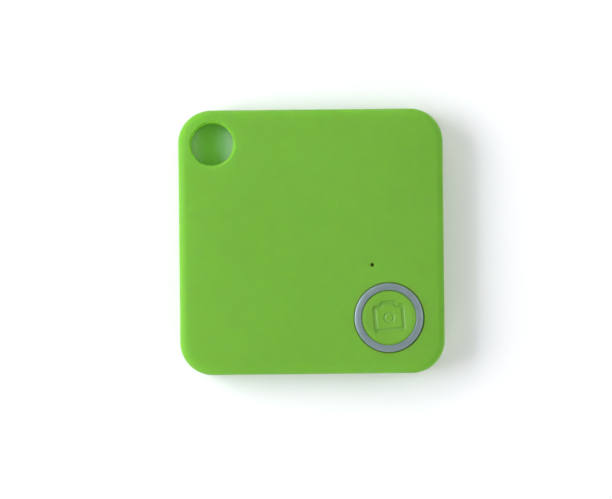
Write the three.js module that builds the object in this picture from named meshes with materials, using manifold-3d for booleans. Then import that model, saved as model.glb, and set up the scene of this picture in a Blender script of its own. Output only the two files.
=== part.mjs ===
// A square Bluetooth tracker tag: two snapped half shells with a key-ring hole through one corner, a sprung
// button in a metal trim ring at the opposite corner, and a board, coin cell and piezo buzzer inside.
// Millimetres, +Z up. The origin is the middle of the rear face, on which the tag lies; the front face is up.
import * as THREE from "three";
import { mergeVertices } from "three/addons/utils/BufferGeometryUtils.js";
import Module from "manifold-3d";

const wasm = await Module();
wasm.setup();

// ---- Driving dimensions ----

// Case: the front and rear covers
const CASE_WIDTH = 37; // along X
const CASE_LENGTH = 37; // along Y
const CASE_HEIGHT = 6.2; // rear face to front face
const CORNER_RADIUS = 4.6;
const FRONT_EDGE_ROUND = 1.2;
const REAR_EDGE_ROUND = 0.8;
const SIDE_WALL = 1.2;
const FRONT_WALL = 1.1;
const REAR_WALL = 1.0;
const PARTING_HEIGHT = 2.4; // the front cover's lower edge
const PARTING_GAP = 0.05;
const LIP_THICKNESS = 0.55; // the rear cover's upright lip, inside the front cover's wall
const LIP_HEIGHT = 1.0;
const LIP_CLEARANCE = 0.08;
const SNAP_LENGTH = 5;
const SNAP_RADIUS = 0.3;
const SNAP_PROUD = 0.2; // how far a bead stands out of the lip
const SNAP_SPREAD = 8; // from the middle of a side to each of its two beads
const PRY_NOTCH = { width: 8, height: 0.7, depth: 0.5 };

// Key-ring hole
const KEY_RADIUS = 3;
const KEY_EDGE_WALL = 1.7; // from the hole to both sides of the case
const KEY_FRONT_ROUND = 0.65;
const KEY_REAR_ROUND = 0.4;
const KEY_TUBE_WALL = 1.0;

// Button and trim ring
const BUTTON_EDGE_WALL = 2.8; // from the ring's hole to both sides of the case
const CAP_RADIUS = 3.68;
const CAP_CLEARANCE = 0.1; // all round, inside the ring
const CAP_EDGE_ROUND = 0.2;
const CAP_DISH = 0.16; // how far the middle of the cap is below its rim
const CAP_SUNK = 0.15; // cap's rim below the ring's top
const CAP_FLANGE_WIDTH = 0.9;
const CAP_FLANGE_THICKNESS = 0.45;
const CAP_TOP_WALL = 0.75;
const CAP_POST_WALL = 0.65;
const RING_WIDTH = 1.04;
const RING_GAP = 0.18; // shadow gap to the front cover
const RING_PROUD = 0.2; // ring's top above the front face
const RING_SEAT_DEPTH = 0.7;
const RING_EDGE_ROUND = 0.28;
const RING_INNER_ROUND = 0.14;
const RING_CROWN = 0.04; // how far the ring's face falls to its inner edge
const RING_LEDGE = 0.65; // width of the step that the ring sits on
const BUTTON_TRAVEL = 0.25;
const COLLAR_WALL = 0.6;
const COLLAR_DEPTH = 0.7;
const ICON = { halfWidth: 2.0, base: -1.72, shoulder: 1.55, hump: 2.1, humpHalfWidth: 1.08, line: 0.34 };
const ICON_LENS_RADIUS = 0.72;
const ICON_DEPTH = 0.12;
const ICON_TURN = THREE.MathUtils.degToRad(5); // the round cap sits a little turned in its ring

// Light hole, placed from the button's axis
const LIGHT_HOLE_RADIUS = 0.25;
const LIGHT_HOLE_OFFSET = new THREE.Vector2(-2.25, 7.4);

// Board
const BOARD_THICKNESS = 0.8;
const BOARD_STANDOFF = 1.6; // rear wall to the board's underside
const BOARD_EDGE_GAP = 0.5;
const BOARD_CORNER = 2.6;
const BOARD_CELL_GAP = 0.4;
const BOARD_KEY_GAP = 0.5;
const ANTENNA = { line: 0.5, pitch: 1.1, reach: 2.6, folds: 7, thickness: 0.07 };
const BOARD_ARM = 7; // how far each arm of the board reaches past the cell's middle
const SCREW_INSET = 2.4; // from the board's edges to a screw's axis
const SCREW = { shank: 0.65, length: 2.1, head: 1.25, headHeight: 0.55, slot: 0.3, slotDepth: 0.25 };
const SCREW_CLEARANCE = 0.15;
const PILOT_CLEARANCE = 0.05;
const BOSS_WALL = 1.0;

// Coin cell and its contacts
const CELL_RADIUS = 10;
const CELL_HEIGHT = 3.2;
const CELL_WALL = 0.25;
const CELL_CRIMP = 0.7; // how far the can's lower edge is crimped in over the seal
const CELL_SEAL = 0.5; // width of the seal that shows between the can and the cup
const CELL_SEAM = 0.1; // between the can, the seal and the cup
const CELL_LIFT = 0.45; // room under the cell for its spring
const CELL_SIDE_GAP = 0.7;
const WELL_CLEARANCE = 0.35;
const WELL_WALL = 0.7;
const WELL_HEIGHT = 0.85;
const CONTACT = { width: 4, foot: 2.1 }; // foot: the part soldered to the board
const CLIP = { sheet: 0.2, reach: 3, tip: 0.6 }; // reach: how far a clip comes in over the cell
const SPRING = { sheet: 0.15, flat: 3, touch: 1 }; // flat: how far it lies on the rear wall under the cell
const CLIP_ANGLES = { cell_clip_right: 20, cell_clip_top: 70 }; // degrees round the cell, from +X
const FOAM_RADIUS = 4;

// Buzzer
const BUZZER_RADIUS = 7.5;
const BUZZER_BRASS = 0.2;
const BUZZER_CERAMIC_RADIUS = 5.5;
const BUZZER_CERAMIC = 0.15;
const BUZZER_TAPE = 0.1;
const BUZZER_SEAT_WIDTH = 0.9;
const BUZZER_SEAT_HEIGHT = 0.45;
const BUZZER_RIM = 0.5;
const BUZZER_CLEARANCE = 0.1;
const BUZZER_SIDE_GAP = 0.5;
const SOUND_HOLE_RADIUS = 0.45;
const SOUND_HOLE_RING = 2.2;
const LEAD_RADIUS = 0.2;
const LEAD_CLEARANCE = 0.14;
const LEAD_NOTCH_RADIUS = 1.25;
const LEAD_NOTCH_ANGLE = THREE.MathUtils.degToRad(45); // round the cell, from +X

// Switch under the button
const SWITCH = { width: 4.4, baseHeight: 0.8, well: 1.6, wellFloor: 0.1, plate: 0.1, leg: 1.2 };
const STEM = { radius: 0.85, flange: 1.3, flangeThickness: 0.16, nub: 0.5, height: 1.7 };
const STEM_CLEARANCE = 0.1;
const DOME = { radius: 1.5, rise: 0.28, sheet: 0.05 };
const BUTTON_POST_RADIUS = 1.5; // the rear cover's post under the switch

const SEAT_GAP = 0.02; // between two pieces that rest on each other
const PAST = 1; // how far a cutting tool runs past the face that it cuts

// ---- Places worked out from those ----

/** A point at a distance and an angle from the origin. */
function turnedAway(distance, angle) {
  return new THREE.Vector2(distance * Math.cos(angle), distance * Math.sin(angle));
}

const halfWidth = CASE_WIDTH / 2;
const halfLength = CASE_LENGTH / 2;
const keyInset = KEY_RADIUS + KEY_EDGE_WALL;
const keyCentre = new THREE.Vector2(-halfWidth + keyInset, halfLength - keyInset);
const ringInner = CAP_RADIUS + CAP_CLEARANCE;
const ringOuter = ringInner + RING_WIDTH;
const ringHole = ringOuter + RING_GAP;
const buttonInset = ringHole + BUTTON_EDGE_WALL;
const buttonCentre = new THREE.Vector2(halfWidth - buttonInset, -halfLength + buttonInset);
const lightCentre = buttonCentre.clone().add(LIGHT_HOLE_OFFSET);
const cellInset = SIDE_WALL + CELL_SIDE_GAP + CELL_RADIUS;
const cellCentre = new THREE.Vector2(-halfWidth + cellInset, -halfLength + cellInset);
const buzzerInset = SIDE_WALL + BUZZER_SIDE_GAP + BUZZER_RIM + BUZZER_RADIUS;
const buzzerCentre = new THREE.Vector2(halfWidth - buzzerInset, halfLength - buzzerInset);
const boardHalfWidth = halfWidth - SIDE_WALL - BOARD_EDGE_GAP;
const boardHalfLength = halfLength - SIDE_WALL - BOARD_EDGE_GAP;

const boardBottom = REAR_WALL + BOARD_STANDOFF;
const boardTop = boardBottom + BOARD_THICKNESS;
const cellBottom = REAR_WALL + CELL_LIFT;
const cellTop = cellBottom + CELL_HEIGHT;
const ceiling = CASE_HEIGHT - FRONT_WALL;
const lipTop = PARTING_HEIGHT + LIP_HEIGHT;
const ringTop = CASE_HEIGHT + RING_PROUD;
const ringSeat = CASE_HEIGHT - RING_SEAT_DEPTH;
const ledgeInner = ringHole - RING_LEDGE;
const capTop = ringTop - CAP_SUNK;
const flangeRadius = CAP_RADIUS + CAP_FLANGE_WIDTH;
const flangeTop = ceiling - SEAT_GAP;
const flangeBottom = flangeTop - CAP_FLANGE_THICKNESS;
const switchTop = boardTop + SWITCH.baseHeight + SWITCH.plate + SEAT_GAP;
const postBottom = switchTop + BUTTON_TRAVEL + 5 * SEAT_GAP;
const stemTop = boardTop + STEM.height;
const lipOffset = SIDE_WALL - LIP_THICKNESS;
const tubeRadius = KEY_RADIUS + KEY_TUBE_WALL;
const collarInner = tubeRadius - LIP_THICKNESS + LIP_CLEARANCE / 2;
const boardHole = CELL_RADIUS + BOARD_CELL_GAP;
const bossRadius = SCREW.shank + BOSS_WALL;
const leadNotch = turnedAway(boardHole, LEAD_NOTCH_ANGLE).add(cellCentre);
const screwPlaces = [
  new THREE.Vector2(-boardHalfWidth + SCREW_INSET, cellCentre.y + BOARD_ARM + SCREW_INSET),
  new THREE.Vector2(cellCentre.x + BOARD_ARM + SCREW_INSET, -boardHalfLength + SCREW_INSET),
  new THREE.Vector2(boardHalfWidth - SCREW_INSET, buzzerCentre.y - BUZZER_RADIUS),
];

// ---- Finishes ----

/** A plain material in one colour. */
function finish(color, roughness, metalness = 0) {
  return new THREE.MeshStandardMaterial({ color, roughness, metalness });
}

const limePlastic = finish(0x74b340, 0.55);
const satinSilver = finish(0x93a2ab, 0.38, 1);
const boardGreen = finish(0x0f4a2c, 0.45);
const copper = finish(0xc98b4a, 0.35, 1);
const blackResin = finish(0x1b1b1d, 0.5);
const steel = finish(0xb9bcc0, 0.3, 1);
const brass = finish(0xcda14f, 0.35, 1);
const ceramic = finish(0xe8e2d2, 0.6);
const tanCeramic = finish(0xa9825c, 0.55);
const blackFoam = finish(0x2a2a2c, 0.95);
const whiteTape = finish(0xe9e9e4, 0.8);
const clearResin = finish(0xf2efe0, 0.15);
const gasketGrey = finish(0x3c3f43, 0.7);
const redWire = finish(0xb3201c, 0.45);
const blackWire = finish(0x161616, 0.45);

// ---- Shape helpers ----

/** A closed three.js geometry as a manifold-3d solid. */
function solidOf(geometry) {
  const bare = geometry.index ? geometry.toNonIndexed() : geometry.clone();
  bare.deleteAttribute("normal");
  bare.deleteAttribute("uv");
  const merged = mergeVertices(bare, 1e-4);
  return new wasm.Manifold(
    new wasm.Mesh({
      numProp: 3,
      vertProperties: merged.attributes.position.array,
      triVerts: new Uint32Array(merged.index.array),
    }),
  );
}

/** A named mesh of a manifold-3d solid. */
function piece(name, solid, material) {
  const { numProp, numVert, vertProperties, triVerts } = solid.getMesh();
  const points = new Float32Array(numVert * 3);
  for (let i = 0; i < numVert; i++) points.set(vertProperties.subarray(i * numProp, i * numProp + 3), i * 3);
  const geometry = new THREE.BufferGeometry();
  geometry.setAttribute("position", new THREE.BufferAttribute(points, 3));
  geometry.setIndex(new THREE.BufferAttribute(triVerts, 1));
  const flat = geometry.toNonIndexed();
  flat.computeVertexNormals();
  const mesh = new THREE.Mesh(flat, material);
  mesh.name = name;
  return mesh;
}

/** A group of objects, placed at a point of the case. */
function placed(x, y, z, ...objects) {
  const group = new THREE.Group();
  group.position.set(x, y, z);
  group.add(...objects);
  return group;
}

/** A rectangle with round corners, about the origin. */
function roundedRect(width, length, radius) {
  const x = width / 2 - radius;
  const y = length / 2 - radius;
  const shape = new THREE.Shape();
  shape.absarc(x, y, radius, 0, Math.PI / 2);
  shape.absarc(-x, y, radius, Math.PI / 2, Math.PI);
  shape.absarc(-x, -y, radius, Math.PI, 1.5 * Math.PI);
  shape.absarc(x, -y, radius, 1.5 * Math.PI, 2 * Math.PI);
  return shape;
}

/** A shape raised from z0 to z1. */
function prism(shape, z0, z1, curveSegments = 3) {
  const geometry = new THREE.ExtrudeGeometry(shape, { depth: z1 - z0, bevelEnabled: false, curveSegments });
  return solidOf(geometry.translate(0, 0, z0));
}

/** The case's outline, taken in by an inset all round, raised from z0 to z1. */
function caseBlock(inset, z0, z1) {
  const radius = Math.max(CORNER_RADIUS - inset, 0.2);
  return prism(roundedRect(CASE_WIDTH - 2 * inset, CASE_LENGTH - 2 * inset, radius), z0, z1);
}

/** The case's full outline from z0 to z1, with both of its flat faces' edges rounded. */
function roundedCaseBlock(z0, z1, edge) {
  const geometry = new THREE.ExtrudeGeometry(roundedRect(CASE_WIDTH, CASE_LENGTH, CORNER_RADIUS), {
    depth: z1 - z0 - 2 * edge,
    bevelThickness: edge,
    bevelSize: edge,
    bevelOffset: -edge,
    bevelSegments: 4,
    curveSegments: 3,
  });
  return solidOf(geometry.translate(0, 0, z0 + edge));
}

/** An upright cylinder. */
function drum(radius, z0, z1, x = 0, y = 0, segments = 32) {
  const geometry = new THREE.CylinderGeometry(radius, radius, z1 - z0, segments);
  return solidOf(geometry.rotateX(Math.PI / 2).translate(x, y, (z0 + z1) / 2));
}

/** An upright tube. */
function tube(outer, inner, z0, z1, x = 0, y = 0, segments = 32) {
  return drum(outer, z0, z1, x, y, segments).subtract(drum(inner, z0 - PAST, z1 + PAST, x, y, segments));
}

/** A box from its size and the middle of its lower face. */
function bar(width, length, height, x = 0, y = 0, z = 0) {
  return solidOf(new THREE.BoxGeometry(width, length, height).translate(x, y, z + height / 2));
}

/** A solid of revolution about Z. The profile is a list of [radius, height], up the outside. */
function turned(profile, segments = 32) {
  const points = profile.map(([r, z]) => new THREE.Vector2(r, z));
  return solidOf(new THREE.LatheGeometry(points, segments).rotateX(Math.PI / 2));
}

/** Points of a quarter circle, as [radius, height], from one angle to another. */
function arcPoints(r, z, radius, from, to, steps = 4) {
  return Array.from({ length: steps + 1 }, (_, i) => {
    const angle = from + ((to - from) * i) / steps;
    return [r + radius * Math.cos(angle), z + radius * Math.sin(angle)];
  });
}

/** All of a list of solids as one. */
function joined(solids) {
  return solids.reduce((whole, next) => whole.add(next));
}

/** A strip of sheet metal along a path of [out, up], its sheet's middle line, and width wide across it. */
function bentSheet(path, sheet, width) {
  const line = path.map(([x, z]) => new THREE.Vector2(x, z));
  const side = (sign) =>
    line.map((point, i) => {
      const before = point.clone().sub(line[Math.max(i - 1, 0)]);
      const after = line[Math.min(i + 1, line.length - 1)].clone().sub(point);
      if (!i) before.copy(after);
      if (i === line.length - 1) after.copy(before);
      const along = before.normalize().add(after.normalize()).normalize();
      const miter = sheet / 2 / along.dot(after);
      return point.clone().add(new THREE.Vector2(-along.y, along.x).multiplyScalar(sign * miter));
    });
  const outline = new THREE.Shape([...side(1), ...side(-1).reverse()]);
  const geometry = new THREE.ExtrudeGeometry(outline, { depth: width, bevelEnabled: false });
  return solidOf(geometry.translate(0, 0, -width / 2).rotateX(Math.PI / 2));
}

// ---- Case ----

/** The bore for the key ring, with round edges at both faces. */
function keyBore() {
  const frontLip = KEY_RADIUS + KEY_FRONT_ROUND;
  const front = arcPoints(frontLip, CASE_HEIGHT - KEY_FRONT_ROUND, KEY_FRONT_ROUND, Math.PI, Math.PI / 2);
  const rearLip = KEY_RADIUS + KEY_REAR_ROUND;
  const rear = arcPoints(rearLip, KEY_REAR_ROUND, KEY_REAR_ROUND, -Math.PI / 2, -Math.PI, 3);
  const bottom = [[0, -PAST], [rearLip, -PAST]];
  const top = [[frontLip, CASE_HEIGHT + PAST], [0, CASE_HEIGHT + PAST]];
  return turned([...bottom, ...rear, ...front, ...top]).translate([keyCentre.x, keyCentre.y, 0]);
}

/** The beads that hold the covers together, and with an ease all round, the pockets that they snap into. */
function snapBeads(ease) {
  const length = SNAP_LENGTH + 2 * ease;
  const height = PARTING_HEIGHT + LIP_HEIGHT / 2;
  const inset = lipOffset - SNAP_PROUD + SNAP_RADIUS;
  const bead = () => new THREE.CylinderGeometry(SNAP_RADIUS + ease, SNAP_RADIUS + ease, length, 8);
  const beads = [];
  for (const side of [-1, 1]) {
    for (const spread of [-SNAP_SPREAD, SNAP_SPREAD]) {
      beads.push(solidOf(bead().translate(side * (halfWidth - inset), spread, height)));
      beads.push(solidOf(bead().rotateZ(Math.PI / 2).translate(spread, side * (halfLength - inset), height)));
    }
  }
  return joined(beads);
}

/** The upper shell: face, side walls, the upper part of the key-hole tube, and the button's seat. */
function frontCover() {
  const base = PARTING_HEIGHT + PARTING_GAP;
  const above = caseBlock(-PAST, base, CASE_HEIGHT + PAST);
  const shell = roundedCaseBlock(-CASE_HEIGHT, CASE_HEIGHT, FRONT_EDGE_ROUND).intersect(above);
  const hollow = caseBlock(SIDE_WALL, 0, ceiling);
  const keyTube = drum(tubeRadius, base, ceiling + FRONT_WALL / 2, keyCentre.x, keyCentre.y).intersect(shell);
  const spigot = drum(collarInner - LIP_CLEARANCE, 0, lipTop + PAST, keyCentre.x, keyCentre.y);
  const lipRoom = caseBlock(lipOffset - LIP_CLEARANCE, 0, lipTop + LIP_CLEARANCE).subtract(spigot);
  const at = [buttonCentre.x, buttonCentre.y];
  const collar = tube(flangeRadius + 3 * CAP_CLEARANCE + COLLAR_WALL, flangeRadius + 3 * CAP_CLEARANCE,
    ceiling - COLLAR_DEPTH, ceiling + SEAT_GAP, ...at);
  const cuts = [
    keyBore(),
    drum(ringHole, ringSeat, CASE_HEIGHT + PAST, ...at, 48),
    drum(ledgeInner, 0, ringSeat + PAST, ...at),
    drum(LIGHT_HOLE_RADIUS, 0, CASE_HEIGHT + PAST, lightCentre.x, lightCentre.y, 12),
    snapBeads(LIP_CLEARANCE),
  ];
  const cover = shell.subtract(hollow).add(keyTube).subtract(lipRoom).add(collar).subtract(joined(cuts));
  return piece("front_cover", cover, limePlastic);
}

/** The hole pattern that lets the buzzer's sound out of the rear wall. */
function soundHoles() {
  const hole = (spot) => drum(SOUND_HOLE_RADIUS, -PAST, REAR_WALL + PAST, spot.x, spot.y, 12);
  const holes = [hole(buzzerCentre)];
  for (let i = 0; i < 6; i++) {
    holes.push(hole(turnedAway(SOUND_HOLE_RING, (i * Math.PI) / 3).add(buzzerCentre)));
  }
  return joined(holes);
}

/** The low wall on the rear cover that keeps the cell in place, with a way through for its spring. */
function cellWell() {
  const inner = CELL_RADIUS + WELL_CLEARANCE;
  const top = REAR_WALL + WELL_HEIGHT;
  const wall = tube(inner + WELL_WALL, inner, REAR_WALL / 2, top, cellCentre.x, cellCentre.y, 40);
  const springWay = bar(inner, CONTACT.width + 1, top, cellCentre.x + inner, cellCentre.y, REAR_WALL);
  return wall.subtract(springWay).intersect(caseBlock(SIDE_WALL / 2, 0, CASE_HEIGHT));
}

/** The raised ring that the buzzer is taped to, and the rim that centres it. */
function buzzerSeat() {
  const top = REAR_WALL + BUZZER_SEAT_HEIGHT;
  const inner = BUZZER_RADIUS - BUZZER_SEAT_WIDTH;
  const bore = BUZZER_RADIUS + BUZZER_CLEARANCE;
  const seat = tube(BUZZER_RADIUS, inner, REAR_WALL / 2, top, buzzerCentre.x, buzzerCentre.y);
  const rimTop = top + BUZZER_TAPE + BUZZER_BRASS;
  const rim = tube(BUZZER_RADIUS + BUZZER_RIM, bore, REAR_WALL / 2, rimTop, buzzerCentre.x, buzzerCentre.y);
  return seat.add(rim);
}

/** The posts that carry the board: one at each screw, and one behind the switch. */
function boardPosts() {
  const top = boardBottom - SEAT_GAP;
  const post = (radius, spot) => drum(radius, REAR_WALL / 2, top, spot.x, spot.y, 16);
  const bosses = screwPlaces.map((spot) => post(bossRadius, spot));
  return joined([post(BUTTON_POST_RADIUS, buttonCentre), ...bosses]);
}

/** The lower shell: tray, lip with snap beads, cell well, buzzer seat, board posts and the pry notch. */
function rearCover() {
  const shell = roundedCaseBlock(0, 3 * CASE_HEIGHT, REAR_EDGE_ROUND)
    .intersect(caseBlock(-PAST, -PAST, PARTING_HEIGHT));
  const tray = shell.subtract(caseBlock(SIDE_WALL, REAR_WALL, CASE_HEIGHT));
  const lip = caseBlock(lipOffset, REAR_WALL, lipTop).subtract(caseBlock(SIDE_WALL, 0, CASE_HEIGHT));
  const keyTube = drum(tubeRadius, 0, PARTING_HEIGHT, keyCentre.x, keyCentre.y).intersect(shell);
  const keyCollar = tube(tubeRadius, collarInner, REAR_WALL, lipTop, keyCentre.x, keyCentre.y);
  const notchBase = PARTING_HEIGHT - PRY_NOTCH.height;
  const notch = bar(PRY_NOTCH.width, 2 * PRY_NOTCH.depth, PRY_NOTCH.height + PAST, 0, -halfLength, notchBase);
  const pilots = screwPlaces.map((spot) =>
    drum(SCREW.shank + PILOT_CLEARANCE, REAR_WALL, boardBottom + PAST, spot.x, spot.y, 16));
  const fittings = joined([lip, keyTube, keyCollar, cellWell(), buzzerSeat(), boardPosts(), snapBeads(0)]);
  const cuts = joined([keyBore(), soundHoles(), notch, ...pilots]);
  return piece("rear_cover", tray.add(fittings).subtract(cuts), limePlastic);
}

// ---- Button ----

/** The trim ring round the button, with a crowned face and round edges. */
function buttonRing() {
  const edge = RING_EDGE_ROUND;
  const base = ringSeat + SEAT_GAP;
  const crown = arcPoints(ringOuter - edge, ringTop - edge, edge, 0, Math.PI / 2, 3);
  const innerEdge = RING_INNER_ROUND;
  const lead = arcPoints(ringInner + innerEdge, ringTop - RING_CROWN - innerEdge, innerEdge, Math.PI / 2, Math.PI, 2);
  const profile = [[ringInner, base], [ringOuter, base], ...crown, ...lead, [ringInner, base]];
  return piece("button_ring", turned(profile, 48), satinSilver);
}

/** An outline of a camera, grown all round, as the cap's engraved sign. */
function cameraOutline(grow) {
  const side = ICON.halfWidth + grow;
  const hump = ICON.humpHalfWidth + grow;
  const half = [[side, ICON.base - grow], [side, ICON.shoulder + grow], [hump, ICON.shoulder + grow],
    [hump, ICON.hump + grow]];
  const mirrored = half.map(([x, y]) => [-x, y]).reverse();
  return [...half, ...mirrored].map(([x, y]) => new THREE.Vector2(x, y));
}

/** The engraved lines, as the solid that cuts them. */
function iconCutter(z0, z1) {
  const outline = new THREE.Shape(cameraOutline(ICON.line / 2));
  outline.holes.push(new THREE.Path(cameraOutline(-ICON.line / 2)));
  const lens = tube(ICON_LENS_RADIUS + ICON.line / 3, ICON_LENS_RADIUS - ICON.line / 3, z0, z1, 0, 0, 20);
  return prism(outline, z0, z1).add(lens).rotate([0, 0, THREE.MathUtils.radToDeg(ICON_TURN)]);
}

/** The button: a dished cap with a flange that keeps it in the case, and a post round the switch's stem. */
function buttonCap() {
  const socket = STEM.radius + STEM_CLEARANCE;
  const post = socket + CAP_POST_WALL;
  const roof = capTop - CAP_DISH - CAP_TOP_WALL;
  const dish = Array.from({ length: 4 }, (_, i) => {
    const share = 1 - i / 3;
    return [(CAP_RADIUS - CAP_EDGE_ROUND) * share, capTop - CAP_DISH * (1 - share * share)];
  });
  const edge = CAP_EDGE_ROUND;
  const rim = arcPoints(CAP_RADIUS - edge, capTop - edge, edge, 0, Math.PI / 2, 2).slice(0, -1);
  const inner = CAP_RADIUS - CAP_TOP_WALL;
  const under = [[0, stemTop + SEAT_GAP], [socket, stemTop + SEAT_GAP], [socket, postBottom],
    [post, postBottom], [post, roof], [inner, roof], [inner, flangeBottom]];
  const flange = [[flangeRadius, flangeBottom], [flangeRadius, flangeTop], [CAP_RADIUS, flangeTop]];
  const icon = iconCutter(capTop - CAP_DISH - ICON_DEPTH, capTop + PAST);
  return piece("button_cap", turned([...under, ...flange, ...rim, ...dish], 40).subtract(icon), limePlastic);
}

// ---- Switch ----

/** The snap dome, a thin cap of sheet that rests on the floor of the switch's well. */
function switchDome() {
  const foot = SWITCH.wellFloor + SEAT_GAP;
  const radii = [0, 0.25, 0.5, 0.75, 1].map((share) => share * DOME.radius);
  const under = radii.map((r) => [r, foot + DOME.rise * (1 - (r / DOME.radius) ** 2)]);
  const over = under.map(([r, z]) => [r, z + DOME.sheet]).reverse();
  return piece("switch_dome", turned([...under, ...over], 24), steel);
}

/** The switch's stem: a nub on the dome, a flange held under the frame, and a post in the button's socket. */
function switchStem() {
  const flangeTop = SWITCH.baseHeight;
  const flangeBase = flangeTop - STEM.flangeThickness;
  const nubBase = SWITCH.wellFloor + DOME.rise + DOME.sheet + 2 * SEAT_GAP;
  const profile = [[0, nubBase], [STEM.nub, nubBase], [STEM.nub, flangeBase], [STEM.flange, flangeBase],
    [STEM.flange, flangeTop], [STEM.radius, flangeTop], [STEM.radius, STEM.height], [0, STEM.height]];
  return piece("switch_stem", turned(profile, 24), blackResin);
}

/** The four pieces of the push switch, from the board's face up. */
function pushSwitch() {
  const { width, baseHeight, well, wellFloor, plate, leg } = SWITCH;
  const base = bar(width, width, baseHeight).subtract(drum(well, wellFloor, baseHeight + PAST, 0, 0, 24));
  const plateBottom = baseHeight + SEAT_GAP;
  const legPlace = width / 2 + SEAT_GAP + plate / 2;
  const legs = [-1, 1].map((side) => bar(leg, plate, baseHeight + plate, 0, side * legPlace, SEAT_GAP));
  const lid = bar(width, 2 * legPlace + plate, plate, 0, 0, plateBottom);
  const stemWay = drum(STEM.radius + STEM_CLEARANCE, 0, baseHeight + PAST, 0, 0, 24);
  return placed(buttonCentre.x, buttonCentre.y, boardTop + SEAT_GAP / 2,
    piece("switch_base", base, blackResin),
    switchDome(),
    switchStem(),
    piece("switch_frame", joined([lid, ...legs]).subtract(stemWay), steel));
}

// ---- Board and its components ----

/** The circuit board: an L round the coin cell, cleared of the key-hole tube. */
function mainBoard() {
  const shape = roundedRect(2 * boardHalfWidth, 2 * boardHalfLength, BOARD_CORNER);
  const board = prism(shape, boardBottom, boardTop);
  const cutHeight = BOARD_THICKNESS + 2 * PAST;
  const cutBase = boardBottom - PAST;
  const cellHole = drum(boardHole, cutBase, cutBase + cutHeight, cellCentre.x, cellCentre.y, 48);
  const openCorner = bar(CASE_WIDTH, CASE_LENGTH, cutHeight, cellCentre.x + BOARD_ARM - halfWidth,
    cellCentre.y + BOARD_ARM - halfLength, cutBase);
  const keyRoom = tubeRadius + BOARD_KEY_GAP;
  const keyCorner = bar(CASE_WIDTH, CASE_LENGTH, cutHeight, keyCentre.x + keyRoom - halfWidth,
    keyCentre.y - keyRoom + halfLength, cutBase);
  const leadWay = drum(LEAD_NOTCH_RADIUS, cutBase, cutBase + cutHeight, leadNotch.x, leadNotch.y, 16);
  const screwHoles = screwPlaces.map((spot) =>
    drum(SCREW.shank + SCREW_CLEARANCE, cutBase, cutBase + cutHeight, spot.x, spot.y, 16));
  const cuts = joined([cellHole, openCorner, keyCorner, leadWay, ...screwHoles]);
  return piece("main_board", board.subtract(cuts), boardGreen);
}

/** A leadless component: a block whose two ends are capped with solder metal a little proud of it. */
function chipPart(name, length, width, height, material) {
  const cap = length / 5;
  const ends = [-1, 1].map((side) => bar(cap, width, height, (side * (length - cap)) / 2));
  const body = bar(length - cap, width - 2 * SEAT_GAP, height - 2 * SEAT_GAP, 0, 0, SEAT_GAP);
  return piece(name, joined([body, ...ends]), material);
}

/** A list of small parts on the board: [x, y from its upper right corner, quarter turns, mesh]. */
function onBoard(places) {
  return places.map(([x, y, turns, mesh]) => {
    const spot = placed(boardHalfWidth + x, boardHalfLength + y, boardTop + SEAT_GAP / 2, mesh);
    spot.rotation.z = (turns * Math.PI) / 2;
    return spot;
  });
}

/** The board's printed antenna: one copper line that folds to and fro. */
function antenna() {
  const { line, pitch, reach, folds, thickness } = ANTENNA;
  const strips = [bar(line, 2 * line, thickness, -(folds - 1) * pitch, -(reach + line) / 2)];
  for (let i = 0; i < folds; i++) {
    strips.push(bar(line, reach, thickness, -i * pitch, 0));
  }
  for (let i = 0; i < folds - 1; i++) {
    const end = (i % 2 ? -1 : 1) * (reach - line) / 2;
    strips.push(bar(pitch + line, line, thickness, -(i + 0.5) * pitch, end));
  }
  return piece("antenna_trace", joined(strips), copper);
}

/** The radio, its crystals, the buzzer's driver and the small parts round them. */
function components() {
  const capacitor = (n) => chipPart(`capacitor_${n}`, 1.6, 0.8, 0.75, tanCeramic);
  const resistor = (n) => chipPart(`resistor_${n}`, 1.6, 0.8, 0.45, blackResin);
  return onBoard([
    [-11.6, -7.6, 0, piece("radio_chip", bar(5, 5, 0.85), blackResin)],
    [-6.4, -7.2, 1, piece("radio_crystal", bar(3.2, 2.5, 0.7), steel)],
    [-11.8, -12.2, 0, piece("clock_crystal", bar(3.2, 1.5, 0.8), steel)],
    [-19.6, -9.6, 0, piece("buzzer_driver", bar(2.9, 1.4, 1.0), blackResin)],
    [-23.2, -7.2, 1, piece("buzzer_coil", bar(3.2, 2.6, 1.2), blackResin)],
    [-15.8, -8.6, 1, capacitor(1)],
    [-15.8, -5.9, 1, capacitor(2)],
    [-17.6, -5.9, 1, capacitor(3)],
    [-7.6, -10.6, 0, capacitor(4)],
    [-12.8, -3.8, 0, capacitor(5)],
    [-17.4, -9.0, 1, resistor(1)],
    [-20.4, -7.4, 0, resistor(2)],
    [-5.2, -10.6, 0, resistor(3)],
    [-4.6, -2.6, 0, antenna()],
  ]);
}

/** The light under the front cover's small hole, with its resistor. */
function indicatorLight() {
  const base = bar(1.6, 0.8, 0.25);
  const lens = bar(1.0, 0.76, 0.35, 0, 0, 0.25 + SEAT_GAP);
  const resistor = chipPart("resistor_4", 1.6, 0.8, 0.45, blackResin);
  resistor.position.x = 2.6;
  return placed(lightCentre.x, lightCentre.y, boardTop + SEAT_GAP / 2,
    piece("led_base", base, whiteTape), piece("led_lens", lens, clearResin), resistor);
}

/** A pan-head screw with a cross recess, from under its head. */
function screw(name) {
  const { shank, length, head, headHeight, slot, slotDepth } = SCREW;
  const body = turned([[0, -length], [shank / 2, -length], [shank, -length + shank], [shank, 0], [head, 0],
    [head, headHeight / 2], [head * 0.7, headHeight], [0, headHeight]], 16);
  const floor = headHeight - slotDepth;
  const cross = bar(head, slot, PAST, 0, 0, floor).add(bar(slot, head, PAST, 0, 0, floor));
  return piece(name, body.subtract(cross), steel);
}

// ---- Coin cell and contacts ----

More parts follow.
